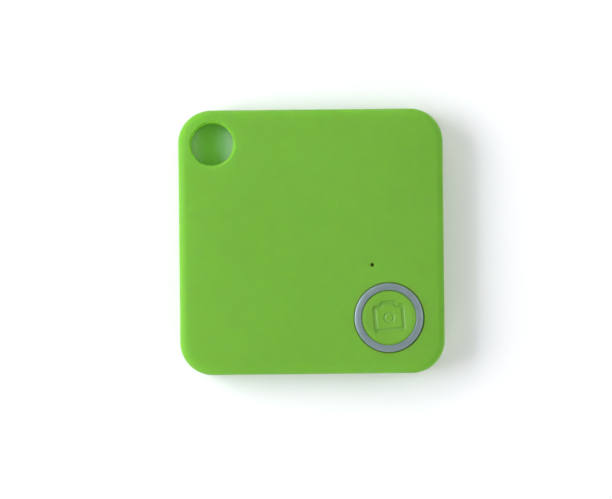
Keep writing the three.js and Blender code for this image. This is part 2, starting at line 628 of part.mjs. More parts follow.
/** The cell's steel can, its seal and its inner cup with what that holds. The can's flat face is up. */
function coinCell() {
  const wall = CELL_WALL;
  const inner = CELL_RADIUS - wall;
  const crimp = CELL_RADIUS - CELL_CRIMP;
  const cup = crimp - CELL_SEAL;
  const shoulder = 2 * wall + CELL_SEAM;
  const fill = CELL_HEIGHT - wall - CELL_SEAM;
  const roof = CELL_HEIGHT - wall;
  const canProfile = [[0, roof], [inner, roof], [inner, 2 * wall], [crimp, 2 * wall], [crimp, wall], [inner, wall],
    [CELL_RADIUS, 2 * wall], [CELL_RADIUS, roof], [inner, CELL_HEIGHT], [0, CELL_HEIGHT]];
  const sealInner = cup + CELL_SEAM;
  const sealOuter = inner - CELL_SEAM;
  const sealLip = crimp - CELL_SEAM;
  const sealProfile = [[sealInner, wall / 2], [sealLip, wall / 2], [sealLip, shoulder], [sealOuter, shoulder],
    [sealOuter, fill], [sealInner, fill], [sealInner, wall / 2]];
  const cupProfile = [[0, 0], [cup - wall, 0], [cup, wall], [cup, fill], [0, fill]];
  return placed(cellCentre.x, cellCentre.y, cellBottom,
    piece("cell_can", turned(canProfile, 48), steel),
    piece("cell_seal", turned(sealProfile), gasketGrey),
    piece("cell_cup", turned(cupProfile), steel));
}

/** A clip soldered to the board that bears on the cell's flat face, at an angle round the cell. */
function cellClip(name, degrees) {
  const { width, foot } = CONTACT;
  const { sheet, reach, tip } = CLIP;
  const low = boardTop + sheet / 2 + SEAT_GAP;
  const high = cellTop + sheet / 2 + SEAT_GAP;
  const rise = boardHole + BOARD_CELL_GAP;
  const inner = CELL_RADIUS - reach;
  const path = [[rise + foot, low], [rise + sheet, low], [rise, high], [inner + tip, high], [inner, high + sheet / 2]];
  const clip = placed(cellCentre.x, cellCentre.y, 0, piece(name, bentSheet(path, sheet, width), steel));
  clip.rotation.z = THREE.MathUtils.degToRad(degrees);
  return clip;
}

/** The leaf spring under the cell, which touches the middle of its cup. */
function cellSpring() {
  const { width, foot } = CONTACT;
  const { sheet, flat, touch } = SPRING;
  const high = boardBottom - sheet / 2 - SEAT_GAP;
  const low = REAR_WALL + sheet / 2 + SEAT_GAP;
  const top = cellBottom - sheet / 2 - SEAT_GAP;
  const rise = boardHole + BOARD_CELL_GAP;
  const path = [[rise + foot, high], [rise + sheet, high], [rise, low], [CELL_RADIUS - flat, low], [touch, top],
    [0, top], [-touch, (top + low) / 2]];
  const spring = piece("cell_spring", bentSheet(path, sheet, width), steel);
  return placed(cellCentre.x, cellCentre.y, 0, spring);
}

/** The foam disc on the front cover that steadies the cell. */
function foamPad() {
  const pad = drum(FOAM_RADIUS, cellTop + SEAT_GAP, ceiling - SEAT_GAP, cellCentre.x, cellCentre.y, 24);
  return piece("cell_foam_pad", pad, blackFoam);
}

// ---- Buzzer ----

/** The piezo disc: tape ring, brass plate and ceramic, stacked on the rear cover's seat. */
function buzzer() {
  const tape = tube(BUZZER_RADIUS - SEAT_GAP, BUZZER_RADIUS - BUZZER_SEAT_WIDTH, SEAT_GAP, BUZZER_TAPE);
  const plateBase = BUZZER_TAPE + SEAT_GAP;
  const plate = drum(BUZZER_RADIUS, plateBase, plateBase + BUZZER_BRASS);
  const discBase = plateBase + BUZZER_BRASS + SEAT_GAP;
  const disc = drum(BUZZER_CERAMIC_RADIUS, discBase, discBase + BUZZER_CERAMIC);
  return placed(buzzerCentre.x, buzzerCentre.y, REAR_WALL + BUZZER_SEAT_HEIGHT,
    piece("buzzer_tape", tape, whiteTape),
    piece("buzzer_plate", plate, brass),
    piece("buzzer_disc", disc, ceramic));
}

/** One of the buzzer's two leads: off the disc, under the board, up through its notch and back to a pad. */
function buzzerLead(name, material, start, side) {
  const under = boardBottom - LEAD_RADIUS - LEAD_CLEARANCE;
  const discTop = REAR_WALL + BUZZER_SEAT_HEIGHT + BUZZER_TAPE + BUZZER_BRASS + BUZZER_CERAMIC + 3 * SEAT_GAP;
  const out = leadNotch.clone().sub(cellCentre).normalize();
  const across = new THREE.Vector2(-out.y, out.x).multiplyScalar(side * (LEAD_RADIUS + LEAD_CLEARANCE / 2));
  const at = (reach, spread, z) => {
    const spot = leadNotch.clone().addScaledVector(out, reach).addScaledVector(across, spread);
    return new THREE.Vector3(spot.x, spot.y, z);
  };
  const onDisc = start.clone().add(buzzerCentre);
  const toNotch = onDisc.clone().lerp(leadNotch, 0.25);
  const route = new THREE.CatmullRomCurve3([
    new THREE.Vector3(onDisc.x, onDisc.y, discTop + LEAD_RADIUS),
    new THREE.Vector3(toNotch.x, toNotch.y, (discTop + LEAD_RADIUS + under) / 2),
    at(2.6, 1.6, under),
    at(LEAD_NOTCH_RADIUS, 1, under),
    at(0.25, 1, boardBottom + BOARD_THICKNESS / 2),
    at(LEAD_NOTCH_RADIUS, 1, boardTop + LEAD_RADIUS + LEAD_CLEARANCE),
    at(2.4, 1.6, boardTop + 2.5 * LEAD_RADIUS),
    at(3.4, 3, boardTop + LEAD_RADIUS + 2 * SEAT_GAP),
  ]);
  const section = new THREE.Shape().absarc(0, 0, LEAD_RADIUS, 0, 2 * Math.PI);
  const geometry = new THREE.ExtrudeGeometry(section, { extrudePath: route, steps: 28, curveSegments: 4 });
  return piece(name, solidOf(geometry), material);
}

// ---- The tag ----

const tag = new THREE.Group();
tag.add(
  frontCover(),
  rearCover(),
  placed(buttonCentre.x, buttonCentre.y, 0, buttonRing(), buttonCap()),
  foamPad(),
  mainBoard(),
  pushSwitch(),
  ...components(),
  indicatorLight(),
  ...screwPlaces.map((spot, i) => placed(spot.x, spot.y, boardTop + SEAT_GAP, screw(`board_screw_${i + 1}`))),
  coinCell(),
  ...Object.entries(CLIP_ANGLES).map(([name, angle]) => cellClip(name, angle)),
  cellSpring(),
  buzzer(),
  buzzerLead("buzzer_lead_red", redWire, turnedAway(BUZZER_CERAMIC_RADIUS - 1.5, Math.PI * 1.17), 1),
  buzzerLead("buzzer_lead_black", blackWire, turnedAway(BUZZER_CERAMIC_RADIUS + 1, Math.PI * 1.33), -1),
);

export default tag;
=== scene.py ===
"""A square Bluetooth tracker tag: two snapped covers, a sprung button in a trim ring, and their works.

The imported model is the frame. Every piece takes its place from a node's box there, is worked out in
millimetres, and becomes metres when it is finished. Z is up, and the tag lies on its rear face.
"""

from __future__ import annotations

import logging
import math
from collections.abc import Callable, Iterable, Sequence
from dataclasses import dataclass, field, replace
from enum import Enum
from typing import Any

import bmesh
import bpy
from mathutils import Matrix, Vector


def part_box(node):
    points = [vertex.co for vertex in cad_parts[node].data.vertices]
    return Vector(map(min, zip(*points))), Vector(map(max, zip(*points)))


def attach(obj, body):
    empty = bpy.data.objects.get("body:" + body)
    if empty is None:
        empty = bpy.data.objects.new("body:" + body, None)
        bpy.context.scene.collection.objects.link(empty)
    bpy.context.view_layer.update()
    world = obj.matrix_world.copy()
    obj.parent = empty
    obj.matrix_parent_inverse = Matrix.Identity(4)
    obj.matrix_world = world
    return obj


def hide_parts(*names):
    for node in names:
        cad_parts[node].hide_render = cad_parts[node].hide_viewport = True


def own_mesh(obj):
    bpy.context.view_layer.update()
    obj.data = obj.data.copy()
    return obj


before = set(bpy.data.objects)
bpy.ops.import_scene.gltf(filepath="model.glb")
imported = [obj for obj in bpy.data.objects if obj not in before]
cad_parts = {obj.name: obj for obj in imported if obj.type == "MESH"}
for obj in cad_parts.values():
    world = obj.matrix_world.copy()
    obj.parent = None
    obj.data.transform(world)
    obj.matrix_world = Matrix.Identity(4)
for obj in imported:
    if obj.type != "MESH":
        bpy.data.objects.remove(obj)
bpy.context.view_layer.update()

MM = 0.001  # one millimetre in the frame's metres
FINE = 1e-4  # millimetres within which two points are one
PAST = 1.0  # how far a cutting shape runs past the face that it cuts
FAR = 30.0  # a distance from the middle that is well outside the tag
SEAT = 0.02  # clearance between pieces that rest on each other

Point = tuple[float, float]
Outline = list[Point]
Spot = tuple[float, float, float]
Colour = tuple[float, float, float, float]
Piece = bpy.types.Object

log = logging.getLogger("tag")


class Body(Enum):
    """The moving bodies of the tag."""

    REAR = "rear_assembly"
    FRONT = "front_cover"
    BUTTON = "button"
    STEM = "switch_stem"


class Combine(Enum):
    """What one shape does to another."""

    ADD = "UNION"
    CUT = "DIFFERENCE"
    KEEP = "INTERSECT"


# ---- Materials ----


def shade(code: int, gain: float = 1.0) -> Colour:
    """Turns a display colour such as 0x74b340 into a shader's linear colour, times a gain.

    Args:
        code: The colour as a number.
        gain: How much lighter it gets.

    Returns:
        The linear colour.
    """

    def linear(value: int) -> float:
        """One channel, from 0-255 to linear."""
        share = value / 255
        return share / 12.92 if share <= 0.04045 else ((share + 0.055) / 1.055) ** 2.4

    return linear(code >> 16) * gain, linear(code >> 8 & 255) * gain, linear(code & 255) * gain, 1.0


def maths(operation: str, number_first: bool = False) -> Callable[..., Signal]:
    """Gives a method of Signal that adds a Math node.

    Args:
        operation: What the node does.
        number_first: Whether the other value comes first.

    Returns:
        The method.
    """

    def method(self: Signal, *others: Signal | float) -> Signal:
        """The output of a Math node of this value and the others."""
        values = (*others, self) if number_first else (self, *others)
        return self.recipe.signal("ShaderNodeMath", {"operation": operation}, dict(enumerate(values)))

    return method


class Signal:
    """One output of a material's node, for use in Python expressions."""

    def __init__(self, recipe: Recipe, socket: bpy.types.NodeSocket) -> None:
        """Wraps a socket of a recipe's node."""
        self.recipe = recipe
        self.socket = socket

    __add__ = __radd__ = maths("ADD")
    __sub__ = maths("SUBTRACT")
    __rsub__ = maths("SUBTRACT", number_first=True)
    __mul__ = __rmul__ = maths("MULTIPLY")
    __pow__ = maths("POWER")
    __abs__ = maths("ABSOLUTE")

    def ramp(self, low: float, high: float) -> Signal:
        """Goes smoothly from 0 where the value is low to 1 where it is high."""
        inputs = {"Value": self, "From Min": low, "From Max": high}
        return self.recipe.signal("ShaderNodeMapRange", {"interpolation_type": "SMOOTHSTEP"}, inputs)


class Recipe:
    """A material's node tree while it is being written."""

    def __init__(self, name: str) -> None:
        """Starts an empty material.

        Args:
            name: The material's name.
        """
        self.material = bpy.data.materials.new(name)
        self.material.use_nodes = True
        self.tree = self.material.node_tree
        self.tree.nodes.clear()

    def node(self, kind: str, settings: dict | None = None, inputs: dict | None = None) -> bpy.types.Node:
        """Adds a node.

        Args:
            kind: The node's type name.
            settings: Values of the node's own settings, set before its inputs.
            inputs: A signal or a value for each input, by name or number.

        Returns:
            The new node.
        """
        added = self.tree.nodes.new(kind)
        for key, value in (settings or {}).items():
            setattr(added, key, value)
        for key, value in (inputs or {}).items():
            if isinstance(value, Signal):
                self.tree.links.new(value.socket, added.inputs[key])
            else:
                added.inputs[key].default_value = value
        return added

    def signal(self, kind: str, settings: dict | None = None, inputs: dict | None = None,
               output: int | str = 0) -> Signal:
        """Adds a node and gives one of its outputs.

        Args:
            kind: The node's type name.
            settings: Values of its own settings.
            inputs: A signal or a value for each input.
            output: Which output to give.

        Returns:
            The output.
        """
        return Signal(self, self.node(kind, settings, inputs).outputs[output])

    def place(self, stretch: Sequence[float] = (1, 1, 1), centre: Sequence[float] = (0, 0, 0),
              turn: float = 0.0) -> Signal:
        """The surface's own coordinates in millimetres.

        Args:
            stretch: How much finer a pattern gets along each axis.
            centre: The point, in millimetres, that becomes zero.
            turn: A turn about Z in degrees.

        Returns:
            The coordinates as a vector.
        """
        own = self.signal("ShaderNodeTexCoord", output="Object")
        moved = self.signal("ShaderNodeVectorMath", {"operation": "MULTIPLY_ADD"},
                            {0: own, 1: (1 / MM,) * 3, 2: [-value for value in centre]})
        return self.signal("ShaderNodeMapping", {"vector_type": "POINT"},
                           {"Vector": moved, "Rotation": (0, 0, math.radians(turn)), "Scale": stretch})

    def noise(self, scale: float, detail: float = 2.0, where: Signal | None = None) -> Signal:
        """Soft noise about 0.5, with a number of features to the millimetre."""
        inputs = {"Vector": where or self.place(), "Scale": scale, "Detail": detail}
        return self.signal("ShaderNodeTexNoise", None, inputs)

    def axes(self, where: Signal) -> tuple[Signal, Signal, Signal]:
        """The three parts of a vector."""
        apart = self.node("ShaderNodeSeparateXYZ", None, {0: where})
        return tuple(Signal(self, output) for output in apart.outputs)

    def mix(self, factor: Signal | float, first: Signal | Colour, second: Signal | Colour) -> Signal:
        """A colour between two, the first where the factor is 0."""
        inputs = {0: factor, 6: first, 7: second}
        return self.signal("ShaderNodeMix", {"data_type": "RGBA"}, inputs, 2)

    def bump(self, height: Signal, depth: float, strength: float = 1.0) -> Signal:
        """A surface relief of a depth in millimetres, as a normal."""
        inputs = {"Height": height, "Distance": depth * MM, "Strength": strength}
        return self.signal("ShaderNodeBump", None, inputs)

    def surface(self, inputs: dict) -> bpy.types.Material:
        """Ends the recipe with one shader of these inputs.

        Args:
            inputs: A signal or a value for each of the shader's inputs.

        Returns:
            The material.
        """
        shader = self.signal("ShaderNodeBsdfPrincipled", None, inputs)
        self.node("ShaderNodeOutputMaterial", None, {"Surface": shader})
        return self.material


@dataclass(frozen=True)
class Finish:
    """What a surface is made of."""

    name: str
    colour: int
    roughness: float = 0.5

    def material(self) -> bpy.types.Material:
        """The finish's material, which is made once."""
        ready = bpy.data.materials.get(self.name)
        return ready or self.write(Recipe(self.name))

    def write(self, recipe: Recipe) -> bpy.types.Material:
        """Writes the shader, each kind of finish in its own way.

        Args:
            recipe: The node tree to write into.

        Returns:
            The material.
        """
        raise NotImplementedError


@dataclass(frozen=True)
class MouldedPlastic(Finish):
    """Plastic from a spark-eroded mould: an even grain, faint flow marks, and some shine from handling."""

    grain: float = 5.0
    grain_depth: float = 0.01
    mottle: float = 0.02
    glow: float = 1.0
    shine: float = 0.12
    hole: tuple[float, float, float] | None = None  # a hole's axis and radius, whose walls get a painted glow: a lighter colour that stands in for light through the plastic
    hole_painted_light: int = 0x9ae834
    hole_light_fade: Point = (4.4, 5.7)  # the heights between which that painted glow fades

    def write(self, recipe: Recipe) -> bpy.types.Material:
        """Mixes flow marks into the colour, handling into the roughness, and the grain into the relief, and
        paints a glow on the hole's lower walls.

        Args:
            recipe: The node tree to write into.

        Returns:
            The material.
        """
        flow = recipe.noise(0.11, 3.0)
        cloud = recipe.noise(0.9, 2.0)
        rubs = recipe.noise(1.0, 3.0, recipe.place((0.12, 1.6, 1.0), turn=24)).ramp(0.56, 0.72)
        tone = (flow * 0.65 + cloud * 0.35).ramp(0.3, 0.7)
        grain = recipe.noise(self.grain, 3.0) * 0.7 + recipe.noise(self.grain * 3.1, 1.0) * 0.3
        skin = recipe.mix(tone, shade(self.colour, 1 - self.mottle), shade(self.colour, 1 + self.mottle))
        # Painted glow: the hole's lower walls get a lighter green that stands in for light coming through and
        # bouncing in the plastic.
        if self.hole:
            x, y, z = recipe.axes(recipe.place(centre=(*self.hole[:2], 0)))
            reach = (x * x + y * y) ** 0.5
            inside = 1 - reach.ramp(self.hole[2], self.hole[2] + 0.1)
            skin = recipe.mix(inside * (1 - z.ramp(*self.hole_light_fade)), skin, shade(self.hole_painted_light))
        return recipe.surface({
            "Base Color": skin,
            "Roughness": self.roughness + 0.05 * (cloud - 0.5) - 0.05 * rubs,
            "Normal": recipe.bump(grain, self.grain_depth),
            "Specular IOR Level": self.shine,
            "Subsurface Weight": self.glow,
            "Subsurface Radius": (0.5, 1.0, 0.12),
            "Subsurface Scale": 2.5 * MM,
        })


@dataclass(frozen=True)
class TurnedMetal(Finish):
    """Metal turned about an upright axis: fine rings that wander a little, and a soft satin."""

    centre: Point = (0.0, 0.0)
    pitch: float = 18.0
    depth: float = 0.0015
    metallic: float = 1.0
    wear: float = 0.86  # how dark the worn rings are, of the whole

    def write(self, recipe: Recipe) -> bpy.types.Material:
        """Lays the rings out by distance from the axis.

        Args:
            recipe: The node tree to write into.

        Returns:
            The material.
        """
        x, y, _ = recipe.axes(recipe.place(centre=(*self.centre, 0)))
        reach = (x * x + y * y) ** 0.5
        wander = recipe.noise(0.7, 2.0)
        along = recipe.signal("ShaderNodeCombineXYZ", None, {0: reach, 1: wander})
        rings = recipe.noise(self.pitch, 2.0, along)
        dust = recipe.noise(6.0, 3.0).ramp(0.58, 0.75)
        tone = (rings * 0.6 + wander * 0.4).ramp(0.35, 0.65)
        return recipe.surface({
            "Base Color": recipe.mix(tone, shade(self.colour, self.wear), shade(self.colour)),
            "Metallic": self.metallic,
            "Roughness": self.roughness + 0.10 * (rings - 0.5) + 0.06 * dust,
            "Normal": recipe.bump(rings, self.depth),
        })


@dataclass(frozen=True)
class SheetMetal(Finish):
    """Rolled or plated metal: a fine grain one way, small scratches, and dull patches from handling."""

    stretch: tuple[float, float, float] = (0.4, 9.0, 9.0)
    turn: float = 0.0
    depth: float = 0.0012
    wear: float = 0.82  # how dark the dull patches are, of the whole

    def write(self, recipe: Recipe) -> bpy.types.Material:
        """Draws the grain along the stretched axis.

        Args:
            recipe: The node tree to write into.

        Returns:
            The material.
        """
        grain = recipe.noise(2.0, 3.0, recipe.place(self.stretch, turn=self.turn))
        scratch = recipe.noise(3.0, 1.0, recipe.place((0.15, 6.0, 1.0), turn=self.turn + 37)).ramp(0.64, 0.70)
        patch = recipe.noise(0.8, 3.0).ramp(0.4, 0.7)
        tone = patch * 0.6 + scratch * 0.3
        return recipe.surface({
            "Base Color": recipe.mix(tone, shade(self.colour), shade(self.colour, self.wear)),
            "Metallic": 1.0,
            "Roughness": self.roughness + 0.14 * (grain - 0.5) + 0.08 * patch,
            "Normal": recipe.bump(grain + scratch * 0.5, self.depth),
        })


@dataclass(frozen=True)
class Speckled(Finish):
    """A solid with a fine speckle, such as moulding resin, ceramic, rubber, tape or wire insulation."""

    second: int = 0x000000
    speck: float = 9.0
    depth: float = 0.003
    coat: float = 0.0

    def write(self, recipe: Recipe) -> bpy.types.Material:
        """Scatters the second colour through the first.

        Args:
            recipe: The node tree to write into.

        Returns:
            The material.
        """
        fine = recipe.noise(self.speck, 3.0)
        wide = recipe.noise(0.7, 2.0)
        return recipe.surface({
            "Base Color": recipe.mix((fine * 0.7 + wide * 0.3).ramp(0.42, 0.66), shade(self.colour),
                                     shade(self.second)),
            "Roughness": self.roughness + 0.10 * (wide - 0.5) + 0.06 * (fine - 0.5),
            "Normal": recipe.bump(fine, self.depth),
            "Coat Weight": self.coat,
            "Coat Roughness": 0.12,
        })


@dataclass(frozen=True)
class OpenFoam(Finish):
    """Open-cell foam: pores darkened with painted shade, between thin walls."""

    cell: float = 3.2
    pore: float = 0.25  # how dark the painted shade in the pores is, of the whole

    def write(self, recipe: Recipe) -> bpy.types.Material:
        """Makes the pores with a cellular pattern, and paints shade into them.

        Args:
            recipe: The node tree to write into.

        Returns:
            The material.
        """
        near = recipe.signal("ShaderNodeTexVoronoi", {"feature": "F1"},
                             {"Vector": recipe.place(), "Scale": self.cell})
        pore = near.ramp(0.05, 0.42)
        return recipe.surface({
            # The pores get painted shade: they are darker than the walls between them.
            "Base Color": recipe.mix(pore, shade(self.colour, self.pore), shade(self.colour)),
            "Roughness": self.roughness + 0.04 * (pore - 0.5),
            "Normal": recipe.bump(pore, 0.09),
            "Sheen Weight": 0.25,
        })


@dataclass(frozen=True)
class Laminate(Finish):
    """A circuit board: green solder mask over a woven core, which shows bare at the edge."""

    core: int = 0xb5a468
    core_shadow: int = 0x8d8452
    flooded: float = 1.35  # how light the mask is where it lies thin, of the whole

    def write(self, recipe: Recipe) -> bpy.types.Material:
        """Weaves the core faintly through the mask, and picks the edge by the way that it faces.

        Args:
            recipe: The node tree to write into.

        Returns:
            The material.
        """
        strands = [recipe.signal("ShaderNodeTexWave", {"wave_type": "BANDS", "bands_direction": axis},
                                 {"Vector": recipe.place(), "Scale": 0.75, "Distortion": 0.6})
                   for axis in ("X", "Y", "Z")]
        weave = strands[0] * 0.5 + strands[1] * 0.5
        pool = recipe.noise(0.5, 3.0)
        _, _, facing = recipe.axes(recipe.signal("ShaderNodeNewGeometry", output="Normal"))
        edge = 1 - abs(facing).ramp(0.3, 0.7)
        mask = recipe.mix(weave * 0.35 + pool.ramp(0.35, 0.65) * 0.65, shade(self.colour),
                          shade(self.colour, self.flooded))
        core = recipe.mix(strands[2], shade(self.core), shade(self.core_shadow))
        return recipe.surface({
            "Base Color": recipe.mix(edge, mask, core),
            "Roughness": self.roughness + 0.4 * edge + 0.10 * (pool - 0.5),
            "Normal": recipe.bump(weave, 0.006),
            "Coat Weight": 0.3,
            "Coat Roughness": 0.2,
        })


LIME = MouldedPlastic("cover_lime_with_painted_glow", 0x73ab3b, 0.6)
CAP_LIME = MouldedPlastic("cap_lime", 0x6ca132, 0.36, grain=7.0, grain_depth=0.004, glow=0.1, shine=0.5)
STEEL = SheetMetal("nickel_steel", 0xb9bcc0, 0.30)
BRIGHT_STEEL = SheetMetal("bright_steel", 0xc9cbcd, 0.24)
SPRING_STEEL = SheetMetal("spring_steel", 0xb4b2ac, 0.27, turn=20)
TIN = SheetMetal("tin", 0xc4c6c6, 0.38, (2.0, 2.0, 2.0), depth=0.004)
BRASS = SheetMetal("brass_sheet", 0xcda14f, 0.33)
COPPER = SheetMetal("plated_copper", 0xd6a260, 0.34, (3.0, 3.0, 3.0))
EPOXY = Speckled("epoxy", 0x161617, 0.48, 0x262628, 12.0)
FERRITE = Speckled("ferrite", 0x2b2b2d, 0.62, 0x3f3f42, 10.0, 0.006)
THICK_FILM = Speckled("thick_film", 0x121214, 0.32, 0x1d1d20, 10.0, 0.002, 0.5)
TAN_CERAMIC = Speckled("tan_ceramic", 0xa77f58, 0.46, 0xb99069, 14.0)
WHITE_CERAMIC = Speckled("white_ceramic", 0xdcd6c6, 0.55, 0xe9e4d6, 12.0)
SILVER_PASTE = SheetMetal("silver_paste", 0xc9c8c2, 0.48, (4.0, 4.0, 4.0), depth=0.004)
SEAL_RUBBER = Speckled("seal", 0x2f3134, 0.6, 0x3d4044, 8.0)
WHITE_TAPE = Speckled("tape", 0xe3e3dc, 0.7, 0xf0f0ea, 5.0, 0.01)
PHOSPHOR = Speckled("phosphor_resin", 0xe9dc8e, 0.22, 0xf3ecb8, 6.0, 0.001, 0.8)
RED_VINYL = Speckled("red_vinyl", 0xa81b17, 0.38, 0xc02a22, 6.0, 0.003, 0.2)
BLACK_VINYL = Speckled("black_vinyl", 0x111112, 0.38, 0x1f1f20, 6.0, 0.003, 0.2)
FOAM = OpenFoam("foam", 0x3a3a3d, 0.92)
BOARD = Laminate("board", 0x0d4f2d, 0.32)
MASKED_COPPER = Speckled("masked_copper", 0x1f8149, 0.28, 0x2a9156, 5.0, 0.003, 0.3)
PLATING = SheetMetal("gold_plating", 0xd9b36a, 0.30, (3.0, 3.0, 3.0))
SILK = Speckled("silk", 0xe6e8e0, 0.6, 0xd2d6cc, 9.0, 0.004)


# ---- Shapes ----


def arc(r: float, z: float, radius: float, start: float, end: float, steps: int = 8) -> Outline:
    """Points on a circle about (r, z), from one angle to another in degrees.

    Args:
        r: The centre's first coordinate.
        z: Its second coordinate.
        radius: The radius.
        start: The first angle.
        end: The last angle.
        steps: How many facets it has.

    Returns:
        The points.
    """
    turns = [math.radians(start + (end - start) * i / steps) for i in range(steps + 1)]
    return [(r + radius * math.cos(turn), z + radius * math.sin(turn)) for turn in turns]


def softened(corners: Sequence[Sequence[float]], closed: bool = True, pace: float = 12.0) -> Outline:
    """Rounds the corners of a line of points.

    Args:
        corners: Points as (x, y) or as (x, y, radius).
        closed: Whether the line comes back to its first point.
        pace: The most degrees between two points of a round.

    Returns:
        The line's points.
    """
    line: Outline = []
    count = len(corners)
    for i, corner in enumerate(corners):
        here = Vector(corner[:2])
        radius = corner[2] if len(corner) > 2 else 0.0
        if not radius or (not closed and i in (0, count - 1)):
            line.append(tuple(here))
            continue
        back = (Vector(corners[i - 1][:2]) - here).normalized()
        on = (Vector(corners[(i + 1) % count][:2]) - here).normalized()
        half = back.angle(on) / 2
        middle = here + (back + on).normalized() * radius / math.sin(half)
        first = here + back * radius / math.tan(half) - middle
        sweep = first.angle_signed(here + on * radius / math.tan(half) - middle)
        steps = max(2, math.ceil(abs(math.degrees(sweep)) / pace))
        for step in range(steps + 1):
            spoke = Matrix.Rotation(-sweep * step / steps, 2) @ first
            line.append(tuple(middle + spoke))
    return line


def sheet_outline(path: Outline, sheet: float) -> Outline:
    """The outline of a bent sheet of a thickness, from its middle line.

    Args:
        path: The middle line.
        sheet: The thickness.

    Returns:
        The outline.
    """
    line = [Vector(point) for point in path]
    sides: tuple[Outline, Outline] = ([], [])
    for i, point in enumerate(line):
        before = (point - line[i - 1]).normalized() if i else (line[1] - point).normalized()
        after = (line[i + 1] - point).normalized() if i + 1 < len(line) else before
        along = (before + after).normalized()
        reach = Vector((-along.y, along.x)) * sheet / 2 / along.dot(after)
        sides[0].append(tuple(point + reach))
        sides[1].append(tuple(point - reach))
    return sides[0] + sides[1][::-1]


def is_upright(edge: bmesh.types.BMEdge) -> bool:
    """Whether an edge runs straight up."""
    along = edge.verts[0].co - edge.verts[1].co
    return along.xy.length < FINE < abs(along.z)


def is_at(height: float) -> Callable[[bmesh.types.BMEdge], bool]:
    """A test for edges that lie at a height."""
    return lambda edge: all(abs(vert.co.z - height) < FINE for vert in edge.verts)


class Shape:
    """A closed mesh that is being worked, in millimetres."""

    def __init__(self) -> None:
        """Starts with nothing."""
        self.mesh = bmesh.new()

    @classmethod
    def block(cls, low: Sequence[float], high: Sequence[float], corner: float = 0.0, top: float = 0.0,
              bottom: float = 0.0, steps: tuple[int, int] = (6, 4)) -> Shape:
        """A block with round upright edges and round edges to its top and bottom.

        Args:
            low: The lowest corner.
            high: The highest corner.
            corner: The radius of the four upright edges.
            top: The radius round the top face.
            bottom: The radius round the bottom face.
            steps: The facets of an upright edge, and of a top or bottom edge.

        Returns:
            The new shape.
        """
        shape = cls()
        size, middle = Vector(high) - Vector(low), (Vector(high) + Vector(low)) / 2
        place = Matrix.Translation(middle) @ Matrix.Diagonal((*size, 1))
        bmesh.ops.create_cube(shape.mesh, size=1.0, matrix=place)
        if corner:
            shape.bevel(corner, steps[0], is_upright)
        if top:
            shape.bevel(top, steps[1], is_at(high[2]))
        if bottom:
            shape.bevel(bottom, steps[1], is_at(low[2]))
        return shape

    @classmethod
    def turned(cls, corners: Sequence[Sequence[float]], at: Sequence[float] = (0, 0), steps: int = 96,
               pace: float = 15.0) -> Shape:
        """A solid of revolution about an upright axis.

        Args:
            corners: Its section as (radius, height) or (radius, height, round), open if it ends on the axis.
            at: The axis.
            steps: The facets round it.
            pace: The most degrees between two points of a round.

        Returns:
            The new shape.
        """
        shape = cls()
        mesh = shape.mesh
        open_ended = corners[0][0] == corners[-1][0] == 0
        line = softened(corners, not open_ended, pace)
        points = [mesh.verts.new((r, 0, z)) for r, z in line]
        edges = [mesh.edges.new(pair) for pair in zip(points, points[1:])]
        if not open_ended:
            edges.append(mesh.edges.new((points[-1], points[0])))
        bmesh.ops.spin(mesh, geom=points + edges, cent=(0, 0, 0), axis=(0, 0, 1), dvec=(0, 0, 0),
                       angle=math.tau, steps=steps, use_merge=True, use_duplicate=False)
        return shape.tidied().moved(at[0], at[1])

    @classmethod
    def bar(cls, length: float, width: float, low: float, high: float, *rounds: float, **more: Any) -> Shape:
        """A block whose middle is on the upright axis, with the rounds of block()."""
        return cls.block((-length / 2, -width / 2, low), (length / 2, width / 2, high), *rounds, **more)

    @classmethod
    def disc(cls, radius: float, low: float, high: float, at: Sequence[float] = (0, 0),
             steps: int = 96) -> Shape:
        """A plain round bar."""
        return cls.turned([(0, low), (radius, low), (radius, high), (0, high)], at, steps)

    @classmethod
    def tube(cls, inner: float, outer: float, low: float, high: float, at: Sequence[float] = (0, 0),
             steps: int = 96, rim: float = 0.0) -> Shape:
        """A plain round tube, with round edges to its upper end.

        Args:
            inner: The bore's radius.
            outer: The outside radius.
            low: The lower end.
            high: The upper end.
            at: The axis.
            steps: The facets round it.
            rim: The radius of the upper edges.

        Returns:
            The new shape.
        """
        return cls.turned([(inner, low), (outer, low), (outer, high, rim), (inner, high, rim)], at, steps)

    @classmethod
    def bore(cls, radius: float, floor: float, face: float, lip: float, at: Sequence[float], steps: int,
             facets: int) -> Shape:
        """What a round hole with a round lip takes away, from its floor up through a face.

        Args:
            radius: The hole's radius.
            floor: The height of its floor.
            face: The height of the face.
            lip: The radius of the lip.
            at: The hole's axis.
            steps: The facets round it.
            facets: The facets of the lip.

        Returns:
            The new shape.
        """
        return cls.turned([(0, floor), (radius, floor), *arc(radius + lip, face - lip, lip, 180, 90, facets),
                           (radius + lip, face + PAST), (0, face + PAST)], at, steps)

    @classmethod
    def prism(cls, outline: Outline, low: float, high: float) -> Shape:
        """A flat outline raised from one height to another.

        Args:
            outline: The points of the outline.
            low: The lower height.
            high: The upper height.

        Returns:
            The new shape.
        """
        shape = cls()
        face = shape.mesh.faces.new([shape.mesh.verts.new((x, y, low)) for x, y in outline])
        grown = bmesh.ops.extrude_face_region(shape.mesh, geom=[face], use_keep_orig=True)
        raised = [item for item in grown["geom"] if isinstance(item, bmesh.types.BMVert)]
        bmesh.ops.translate(shape.mesh, vec=(0, 0, high - low), verts=raised)
        return shape.tidied()

    @classmethod
    def lofted(cls, rings: Sequence[Sequence[Sequence[float]]]) -> Shape:
        """A closed skin over a row of rings that have the same number of points.

        Args:
            rings: The rings from one end to the other.

        Returns:
            The new shape.
        """
        shape = cls()
        mesh = shape.mesh
        loops = []
        for ring in rings:
            points = [mesh.verts.new(point) for point in ring]
            loops.append([mesh.edges.new((point, points[i - 1])) for i, point in enumerate(points)])
        for below, above in zip(loops, loops[1:]):
            bmesh.ops.bridge_loops(mesh, edges=below + above)
        for end in (loops[0], loops[-1]):
            bmesh.ops.contextual_create(mesh, geom=end)
        return shape.tidied()

